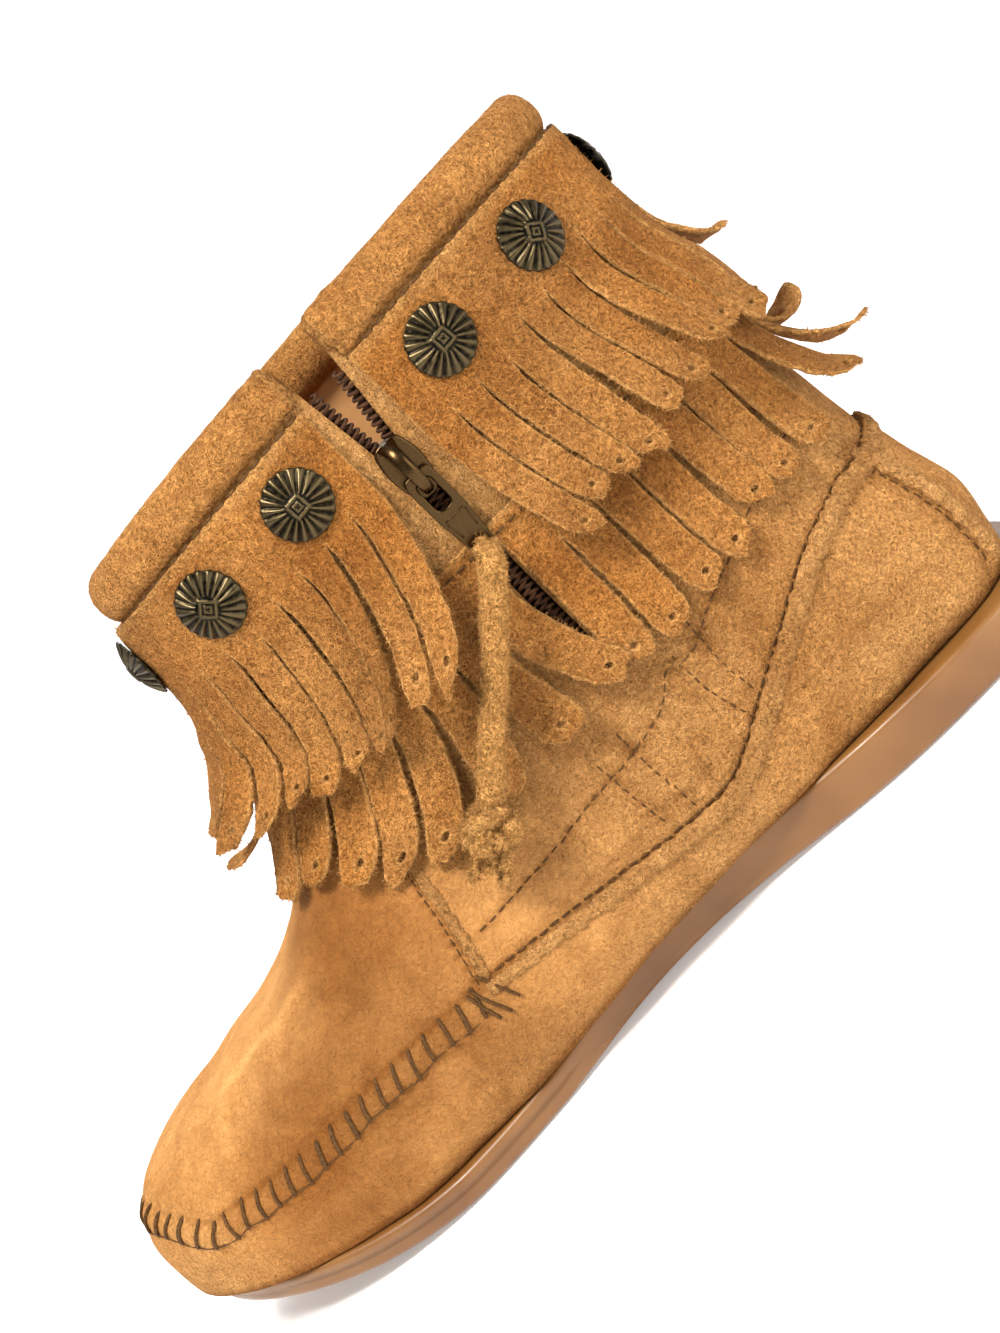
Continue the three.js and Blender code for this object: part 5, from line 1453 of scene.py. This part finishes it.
def strip_pattern():
    """Triangles of one strip in the flat: u across from -1 to 1 and v from the tip, with its hole."""
    rows = [0, 0.35, 0.9, 1.8, 3.0, 4.6, 6.2, 8, 10, 12, 15, 18, 21, 24, 27, 30, TIP_ZONE + STRETCH]
    keep = []
    for v in rows:
        for u in STRIP_COLUMNS:
            x = u * STRIP_HALF
            if math.hypot(x * tip_width(v), v - HOLE_AT) > HOLE_SIZE + 0.45 or abs(u) == 1:
                keep.append((u, v))
    right = [(1.0, v) for v in rows]
    top = [(u, rows[-1]) for u in STRIP_COLUMNS[::-1][1:-1]]
    left = [(-1.0, v) for v in rows[::-1]]
    bottom = [(u, 0) for u in STRIP_COLUMNS[1:-1]]
    outline = right + top + left + bottom
    ring = []
    for k in range(10):
        a = k / 10 * TURN
        v = HOLE_AT + HOLE_SIZE * math.sin(a)
        ring.append((HOLE_SIZE * math.cos(a) / STRIP_HALF / tip_width(v), v))
    inner = [p for p in keep if abs(p[0]) != 1 and p[1] not in (0, rows[-1])]
    spots = outline + ring + inner
    edges = [(k, (k + 1) % len(outline)) for k in range(len(outline))]
    edges += [(len(outline) + k, len(outline) + (k + 1) % 10) for k in range(10)]
    flat = [Vector((u * STRIP_HALF * tip_width(v), v)) for u, v in spots]
    verts, _, faces, origin, _, _ = delaunay_2d_cdt(flat, edges, [], 0, 1e-5)
    order = [min(o) if o else 0 for o in origin]
    out = []
    for f in faces:
        x = sum(verts[k].x for k in f) / 3
        v = sum(verts[k].y for k in f) / 3
        inside = abs(x) <= STRIP_HALF * tip_width(v) + 1e-6 and 0 <= v <= rows[-1]
        if inside and math.hypot(x, v - HOLE_AT) > HOLE_SIZE * 0.93:
            out.append([order[k] for k in f][::-1])
    return np.array(spots), out


PATTERN, PATTERN_FACES = strip_pattern()
PATTERN_TOP = [
    int(np.argmin(np.hypot(PATTERN[:, 0] - u, PATTERN[:, 1] - TIP_ZONE - STRETCH))) for u in STRIP_COLUMNS
]
BAND_ROWS = 7


def fringe_row(table, around):
    return [np.interp(around, table[:, 0], table[:, k]) for k in range(1, 5)]


def wave(k):
    """Regular unevenness from strip to strip."""
    return math.sin(k * 2.3) + 0.6 * math.sin(k * 5.1 + 1)


class Strip:
    """One strip of a fringe: its place, cuts, length, drift, lift, twist and sway."""

    def __init__(self, rng, number, start, pitch, cuts, table, curls, twists):
        self.left = start + number * pitch
        self.pitch = pitch
        self.middle = (self.left + self.left + pitch) / 2
        self.cuts = cuts
        _, tip, drift, lift = fringe_row(table, self.middle)
        self.tip, drift, lift, self.curl = curls.get(number, (tip + wave(number) * 1.6, drift, lift, 0))
        self.drift = drift + rng.uniform(-0.8, 0.8)
        self.lift = lift + (rng.uniform(0.0, 0.9) + (0.5 if number % 2 else 0.0))
        twist = rng.uniform(-0.9, 0.9) * (0.5 + self.lift / 8)
        self.skew = rng.uniform(-1.1, 1.1)
        slim = rng.uniform(0.93, 1.0)
        self.twist, self.slim = twists.get(number, (twist, slim))
        self.cup = rng.uniform(0.1, 0.7)
        self.wag = rng.uniform(-0.7, 0.7)
        self.phase = rng.uniform(0, TURN)
        self.tone = rng.uniform(-0.10, 0.14)
        self.long = max(abs(cuts[0] - self.tip), 14)

    def root(self, u):
        """Height of the cut line across the strip."""
        return mix(*self.cuts, (u + 1) / 2)

    def at(self, u, v):
        """Place round the shaft, height, lift off it, reach and shade, from the strip's flat pattern."""
        phase = self.phase
        beyond = (1 - TIP_ZONE / self.long) * (1 - (v - TIP_ZONE) / STRETCH)
        s = 1 - v / self.long if v <= TIP_ZONE else beyond
        z = mix(self.root(u), self.tip, s) + self.curl * s ** 4 + self.skew * u * math.exp(-v / 3.0)
        half = (self.pitch / 2) * (1 - smoothstep(0.0, 0.12, s) * (SLIT_GAP / (self.pitch * GIRTH)))
        half = half * mix(1, self.slim, s) * tip_width(v)
        shift = (self.drift / GIRTH) * s ** 1.6 + self.wag * math.sin(s * 2.6 + phase) * s / GIRTH * 1.4
        if abs(u) == 1:
            ragged = 0.16 * math.sin(v * 2.1 + phase * 3 + u) + 0.09 * math.sin(v * 5.3 + phase * 5 + 2 * u)
            half += ragged / GIRTH
        height = self.lift * s ** 1.8 + self.twist * u * s ** 1.4 + self.cup * (abs(u) ** 2) * s * 0.8
        height += 0.35 * math.sin(s * 7 + phase) * s
        # The last value is the strip's own tone plus painted shade towards the root of its slit.
        return self.middle + shift + u * half, z, max(height, -0.15), s, self.tone * s + 0.35 * (1 - s) ** 4


def make_fringe(name, node, strips, table, curls, twists, band_top, under, edge, seed, hair_count):
    """One band with its cut strips, as one sheet with loose hairs at the cut edges."""
    rng = np.random.default_rng(seed)
    start = edge / GIRTH
    pitch = (1 - 2 * start) / strips
    spots = []
    shared = {}
    faces = []

    def spot(values, key=None):
        if key is not None and key in shared:
            return shared[key]
        spots.append(values)
        if key is not None:
            shared[key] = len(spots) - 1
        return len(spots) - 1

    cuts = []
    for k in range(strips + 1):
        at = min(max(start + k * pitch, 0.0), 1.0)
        cuts.append(fringe_row(table, at)[0] + 0.8 * wave(k - 0.5) + rng.uniform(-1.5, 1.5))
    for k in range(strips):
        strip = Strip(rng, k, start, pitch, cuts[k:k + 2], table, curls, twists)
        band = []
        for b in range(BAND_ROWS):
            line = []
            for u in STRIP_COLUMNS:
                around = mix(strip.left, strip.left + pitch, (u + 1) / 2)
                z = mix(band_top(around), strip.root(u), b / (BAND_ROWS - 1))
                key = (k + (u == 1), b) if abs(u) == 1 else None
                line.append(spot((around, z, 0.0, 0.0, 0.0), key))
            band.append(line)
        for upper, lower in zip(band, band[1:]):
            faces += [[upper[c], upper[c + 1], lower[c + 1], lower[c]] for c in range(len(STRIP_COLUMNS) - 1)]
        index = {p: band[-1][c] for c, p in enumerate(PATTERN_TOP)}
        for p, (u, v) in enumerate(PATTERN):
            if p not in index:
                index[p] = spot(strip.at(u, v))
        faces += [[index[q] for q in f] for f in PATTERN_FACES]
    around, z, raised, reach, tone_and_root_shade = np.array(spots, float).T
    base = under(z) + raised
    back = shaft(around, z, base)
    front = shaft(around, z, base + SUEDE)
    soft = 0.16 * ripple(front, 17, seed) + 0.07 * ripple(front, 5, seed + 1)
    normal = shaft_normal(around, z)
    front = front + normal * soft[:, None]
    back = back + normal * soft[:, None]
    points, out_faces, rim = thick_sheet(front, back, faces, 0.26)
    reach = np.clip(reach, 0, 1)
    # Shade: painted shade towards the band, with a random tone on top.
    dark = np.clip(0.30 - 0.30 * reach + 0.12 * ripple(front, 30, seed + 2) + tone_and_root_shade, 0, 1)
    rest = len(points) - 2 * len(front)
    # Warm: deeper orange towards the band, partly painted shade and partly a random tone.
    warm = np.clip(0.5 - 0.35 * reach + 0.3 * ripple(front, 45, seed + 3), 0, 1)
    count = len(front)
    edge_reach = smoothstep(0.15, 0.5, reach[rim[:count] > 0.5])
    weight = np.concatenate([np.full(count, 0.06), np.full(count, 0.01), 0.3 + 1.9 * edge_reach])
    hairs = fibres(points, out_faces, weight, hair_count, 1.1, seed + 5, 0.1)
    fill = len(hairs[0])
    made = piece(name, *joined([(points, out_faces), hairs]), FRINGE_LOOK, {
        "edge": np.concatenate([rim, np.full(fill, 0.9)]),
        "shade": np.concatenate([dark, dark, np.zeros(rest + fill)]),
        "warm": np.concatenate([warm, warm, np.zeros(rest + fill)]),
    })
    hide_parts(node)
    corners = front[triangles(faces)]
    area = np.linalg.norm(np.cross(corners[:, 1] - corners[:, 0], corners[:, 2] - corners[:, 0]), axis=1).sum() / 2
    tall = float(np.max(band_top(around)) - z.min())
    return made


def band_stitches():
    rng = np.random.default_rng(19)
    around = np.arange(3.4, GIRTH - 3.0, 3.3) / GIRTH
    low = np.full(len(around), LOWER_BAND_TOP - 2.6)
    parts = []
    ahead = shaft(around + 1 / GIRTH, low, SUEDE + 0.75)
    here = shaft(around, low, SUEDE + 0.75)
    out = shaft_normal(around, low)
    for k in range(len(around)):
        size = 2.6 * rng.uniform(0.85, 1.1)
        parts.append(capsule(here[k], unit(ahead[k] - here[k]), out[k], size, 0.6, 0.25))
    thread_piece("stitches_band", parts)


band_stitches()


def edge_height(around):
    turn = Ring(ROLL_RING_HEIGHT).turn_at(np.asarray(around, float), SHARES)
    return last_point(np.full_like(turn, EDGE_ROW), turn)[..., 2]


EDGE_TABLE_X = np.linspace(-0.05, 1.05, 400)
EDGE_TABLE = edge_height(EDGE_TABLE_X)


def upper_band_top(around):
    return np.interp(around, EDGE_TABLE_X, EDGE_TABLE) - 3.4


def lower_band_top(around):
    return LOWER_BAND_TOP


def under_upper(z):
    return 0.9 + (SUEDE + 0.6) * smoothstep(118, 101, z)


def under_lower(z):
    return 0.6 + 0 * z


make_fringe(
    "fringe_top_cut", "fringe_upper", 44, UPPER_FRINGE, UPPER_CURLS, UPPER_TWISTS, upper_band_top, under_upper,
    edge=7, seed=71, hair_count=12500,
)
make_fringe(
    "fringe_low_cut", "fringe_lower", 36, LOWER_FRINGE, LOWER_CURLS, {}, lower_band_top, under_lower,
    edge=2.4, seed=72, hair_count=9500,
)


# Conchos: domed discs with twenty flutes and a small square boss
CONCHO_FLUTES = 20
CONCHO_STEPS = 160
CONCHO_RADII = [
    0, 0.45, 0.75, 0.95, 1.2, 1.45, 1.65, 1.9, 2.15, 2.4, 2.7, 3.2, 4.0, 4.8, 5.5, 6.1, 6.6, 7.0, 7.25, 7.4, 7.42, 7.4,
]


def make_concho(number, around, raise_by):
    angle = np.arange(CONCHO_STEPS) / CONCHO_STEPS * TURN
    r, a = np.meshgrid(CONCHO_RADII, angle, indexing="ij")
    dome = 2.6 * (1 - (r / 7.9) ** 2) + 0.15
    flute = (0.5 + 0.5 * np.cos(a * CONCHO_FLUTES)) ** 0.6
    zone = smoothstep(2.3, 3.1, r) * smoothstep(7.5, 6.9, r)
    square = np.maximum(np.abs(r * np.cos(a + 0.6)), np.abs(r * np.sin(a + 0.6)))
    frame_outer = smoothstep(2.05, 1.85, square) * smoothstep(1.25, 1.45, square)
    frame_inner = smoothstep(0.95, 0.75, square) * smoothstep(0.3, 0.5, square)
    height = dome + zone * (flute - 0.75) * 0.62 + 0.32 * frame_outer + 0.3 * frame_inner
    scallop = 1 + 0.014 * np.cos(a * CONCHO_FLUTES) * smoothstep(6.4, 7.3, r)
    height[-1] = 0.05
    height[-2] = 0.35
    middle = upper_band_top(around) - 11.2 + raise_by
    seat = shaft([around], middle, 0.9 + SUEDE + 0.15)[0]
    normal = shaft_normal([around], middle)[0]
    side = unit(np.cross([0, 0, 1.0], normal))
    up = np.cross(normal, side)
    spin = number * 0.7
    rx = r * scallop * np.cos(a + spin)
    ry = r * scallop * np.sin(a + spin)
    points = seat + rx[..., None] * side + ry[..., None] * up + height[..., None] * normal
    flat = points.reshape(-1, 3)
    faces = grid_faces(len(CONCHO_RADII), CONCHO_STEPS, closed=True)
    faces = facing(flat, faces, np.tile(normal, (len(flat), 1)), 200)
    high = np.clip(zone * flute + frame_outer + frame_inner + 0.25 * smoothstep(6.9, 7.3, r), 0, 1)
    made = piece(f"concho_cast_{number}", flat, faces, CONCHO_LOOK, {"high": high.reshape(-1)})
    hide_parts(f"concho_{number}")


for number, (around, raise_by) in enumerate(CONCHO_PLACES):
    make_concho(number + 1, around, raise_by)


# Zip: tapes, coils, slider and tab
TAPE_WIDTH = 10


def make_tapes():
    parts = []
    for sign in (1, -1):
        z = np.linspace(ZIP_BOTTOM - 4, 137, 70)
        half = np.maximum(zip_half(z) - 1.4, 0.6)
        half = np.where(z < SLIDER_Z, 0.15, half)
        arc = sign * (half[:, None] + np.linspace(0, 1, 9)[None] * TAPE_WIDTH)
        front, back = (shaft(arc / GIRTH, z[:, None], -LEATHER - deep).reshape(-1, 3) for deep in (0.75, 1.5))
        parts.append(thick_sheet(front, back, grid_faces(70, 9), 0.1)[:2])
    made = piece("zip_tapes", *joined(parts), TAPE_LOOK)
    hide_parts("zip_tape")


COIL_REACH = 1.15
COIL_RISE = 0.8
COIL_WIRE = 0.40
COIL_PITCH = 1.5


def coil(low, high, middle, phase, sign):
    """One side of the zip's coil; middle gives its distance from the zip's line at a height."""
    turns = (high - low) / COIL_PITCH
    t = np.linspace(0, 1, int(turns * 12))
    a = t * turns * TURN + phase
    z = mix(low, high, t)
    x = sign * middle(z) + sign * COIL_REACH * np.cos(a)
    return tube(zip_point(x, z, -LEATHER + COIL_RISE * 1.15 + COIL_RISE * np.sin(a)), COIL_WIRE, 6)


def make_coils():
    sides = ((1, 0), (-1, math.pi))
    below = [coil(ZIP_BOTTOM + 0.8, 112, lambda z: 0.45 + 0 * z, phase, sign) for sign, phase in sides]
    made = piece("zip_coil_joined", *joined(below), NYLON_LOOK)
    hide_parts("zip_coil_closed")
    for sign, name, node in ((1, "zip_coil_toe", "zip_coil_front"), (-1, "zip_coil_heel", "zip_coil_rear")):
        made = piece(name, *coil(SLIDER_Z + 5.5, 141, lambda z: zip_half(z) - 1.0, 0.4, sign), NYLON_LOOK)
        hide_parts(node)


make_tapes()
make_coils()


def plate(outline, holes, depth, bevel, place):
    """A flat plate with holes and rounded edges, from closed outlines in its own plane."""
    data = bpy.data.curves.new("plate", "CURVE")
    data.dimensions = "2D"
    data.fill_mode = "BOTH"
    data.extrude = max(depth / 2 - bevel, 0.01)
    data.bevel_depth = bevel
    data.bevel_resolution = 3
    data.offset = -bevel
    for line in [outline, *holes]:
        spline = data.splines.new("POLY")
        spline.points.add(len(line) - 1)
        for point, (x, y) in zip(spline.points, line):
            point.co = (x, y, 0, 1)
        spline.use_cyclic_u = True
    holder = bpy.data.objects.new("plate", data)
    bpy.context.scene.collection.objects.link(holder)
    bpy.context.view_layer.update()
    mesh = bpy.data.meshes.new_from_object(holder.evaluated_get(bpy.context.evaluated_depsgraph_get()))
    points = np.array([tuple(v.co) for v in mesh.vertices])
    faces = [list(p.vertices) for p in mesh.polygons]
    bpy.data.objects.remove(holder)
    bpy.data.curves.remove(data)
    bpy.data.meshes.remove(mesh)
    return place(points), faces


def rounded(points, radius, steps=5):
    out = []
    points = [np.array(p, float) for p in points]
    count = len(points)
    for k in range(count):
        before = points[k - 1]
        here = points[k]
        after = points[(k + 1) % count]
        a = here + unit(before - here) * min(radius, np.linalg.norm(before - here) * 0.45)
        b = here + unit(after - here) * min(radius, np.linalg.norm(after - here) * 0.45)
        for f in np.linspace(0, 1, steps):
            out.append((1 - f) ** 2 * a + 2 * f * (1 - f) * here + f * f * b)
    return [tuple(p) for p in out]


def make_slider():
    base = LEATHER / 2 + 0.3
    outline = rounded(
        [(-2.4, -7), (2.4, -7), (3.9, -3), (4.3, 2), (3.2, 7.2), (-3.2, 7.2), (-4.3, 2), (-3.9, -3)], 2.0,
    )

    def lay_at(y):
        def lay(p):
            return on_zip(np.stack([p[:, 0], p[:, 2] + y, p[:, 1]], -1))
        return lay

    body = plate(outline, [], 1.7, 0.5, lay_at(base + 0.85))
    lower = plate(outline, [], 1.1, 0.4, lay_at(base - 2.5))
    post = plate(rounded([(-1.6, 3), (1.6, 3), (1.3, 6.6), (-1.3, 6.6)], 0.8), [], 3.0, 0.3, lay_at(base - 1.0))
    top = base + 1.7
    arch, _ = smooth_path([
        (0, top - 0.6, -5.6), (0, top + 1.6, -5.7), (0, top + 3.3, -4.4), (0, top + 3.8, -1.5),
        (0, top + 3.5, 1.8), (0, top + 2.2, 4.6), (0, top - 0.2, 6.2),
    ], 26)
    widths = np.interp(np.linspace(0, 1, 26), [0, 0.2, 0.6, 0.85, 1], [1.2, 1.25, 1.5, 1.6, 2.2])
    bridge = tube(on_zip(arch), widths, 14, 0.48, np.tile(ZIP_TOE, (26, 1)))
    made = piece("slider_cast", *joined([body, lower, post, bridge]), SLIDER_LOOK)
    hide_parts("zip_slider")


def make_tab():
    bar = TAB_BAR
    end = TAB_END
    outline = rounded([
        (-3.0, bar + 1.0), (-3.5, bar - 1), (-3.5, bar - 9.5), (-2.5, end + 1.4), (-1.7, end),
        (1.7, end), (2.5, end + 1.4), (3.5, bar - 9.5), (3.5, bar - 1), (3.0, bar + 1.0),
    ], 1.1)
    slot = rounded([(-1.9, bar - 0.9), (1.9, bar - 0.9), (1.9, bar - 8.4), (-1.9, bar - 8.4)], 1.7)
    ring = [(1.35 * math.cos(k / 20 * TURN), end + 3 + 1.35 * math.sin(k / 20 * TURN)) for k in range(20)]

    def lay(p):
        return on_zip(np.stack([p[:, 0], p[:, 2] + TAB_OUT, p[:, 1]], -1))

    main = plate(outline, [slot, ring], 1.5, 0.32, lay)
    lines = [
        [(-2.5, bar - 10.4), (2.5, bar - 10.4)], [(-2.6, bar - 10.4), (-1.95, end + 6.0)],
        [(2.6, bar - 10.4), (1.95, end + 6.0)],
    ]
    raised = []
    for (x0, z0), (x1, z1) in lines:
        path = [(mix(x0, x1, f), TAB_OUT + 0.74, mix(z0, z1, f)) for f in np.linspace(0, 1, 5)]
        raised.append(tube(on_zip(path), 0.2, 6))
    made = piece("pull_tab_cast", *joined([main, *raised]), SLIDER_LOOK, None, "pull")
    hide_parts("zip_pull_tab")


make_slider()
make_tab()


bpy.context.scene.view_settings.view_transform = "Standard"


# Floor, backdrop and light
def make_stage():
    bend = np.arange(13) / 12 * math.pi / 2
    profile = [(2.2, 0.0), (-0.4, 0.0), *zip(-0.9 - 0.7 * np.sin(bend), 0.7 - 0.7 * np.cos(bend)), (-1.6, 4.0)]
    points = []
    for x in (-4.0, 4.0):
        points += [(x / MM, y / MM, z / MM - 0.4) for y, z in profile]
    count = len(profile)
    faces = [[k, k + 1, k + 1 + count, k + count] for k in range(count - 1)]
    look = Look("pale_paper", specular_ior_level=0.1)
    look.done(look.blend(look.cloud(look.noise(60), 0, 1), (0.93, 0.93, 0.93, 1), (0.95, 0.95, 0.95, 1)), 0.95)
    look.shader.inputs["Emission Color"].default_value = (1, 1, 1, 1)
    look.shader.inputs["Emission Strength"].default_value = 0.28
    made = piece("paper_sweep", np.array(points), faces, look.material, None, None)


def area_light(name, place, target, size, power, colour):
    data = bpy.data.lights.new(name, "AREA")
    data.shape = "DISK"
    data.size = size
    data.energy = power
    data.color = colour
    lamp = bpy.data.objects.new(name, data)
    lamp.location = place
    lamp.rotation_euler = (Vector(target) - Vector(place)).to_track_quat("-Z", "Y").to_euler()
    bpy.context.scene.collection.objects.link(lamp)


def make_world(strength):
    world = bpy.data.worlds.new("studio")
    world.use_nodes = True
    background = world.node_tree.nodes["Background"]
    background.inputs["Color"].default_value = (1.0, 1.0, 1.0, 1)
    background.inputs["Strength"].default_value = strength
    bpy.context.scene.world = world


make_stage()
WARM_LIGHT = (1.0, 0.965, 0.90)
area_light("key", (0.25, 0.62, 1.10), (0.1, 0, 0.07), 0.42, 21.5, WARM_LIGHT)
area_light("fill", (-0.7, 0.8, 0.25), (0.1, 0, 0.07), 0.6, 4.2, WARM_LIGHT)
area_light("back", (0.2, -0.9, 0.9), (0.1, 0, 0.1), 0.8, 6, (1, 1, 1))
make_world(0.42)
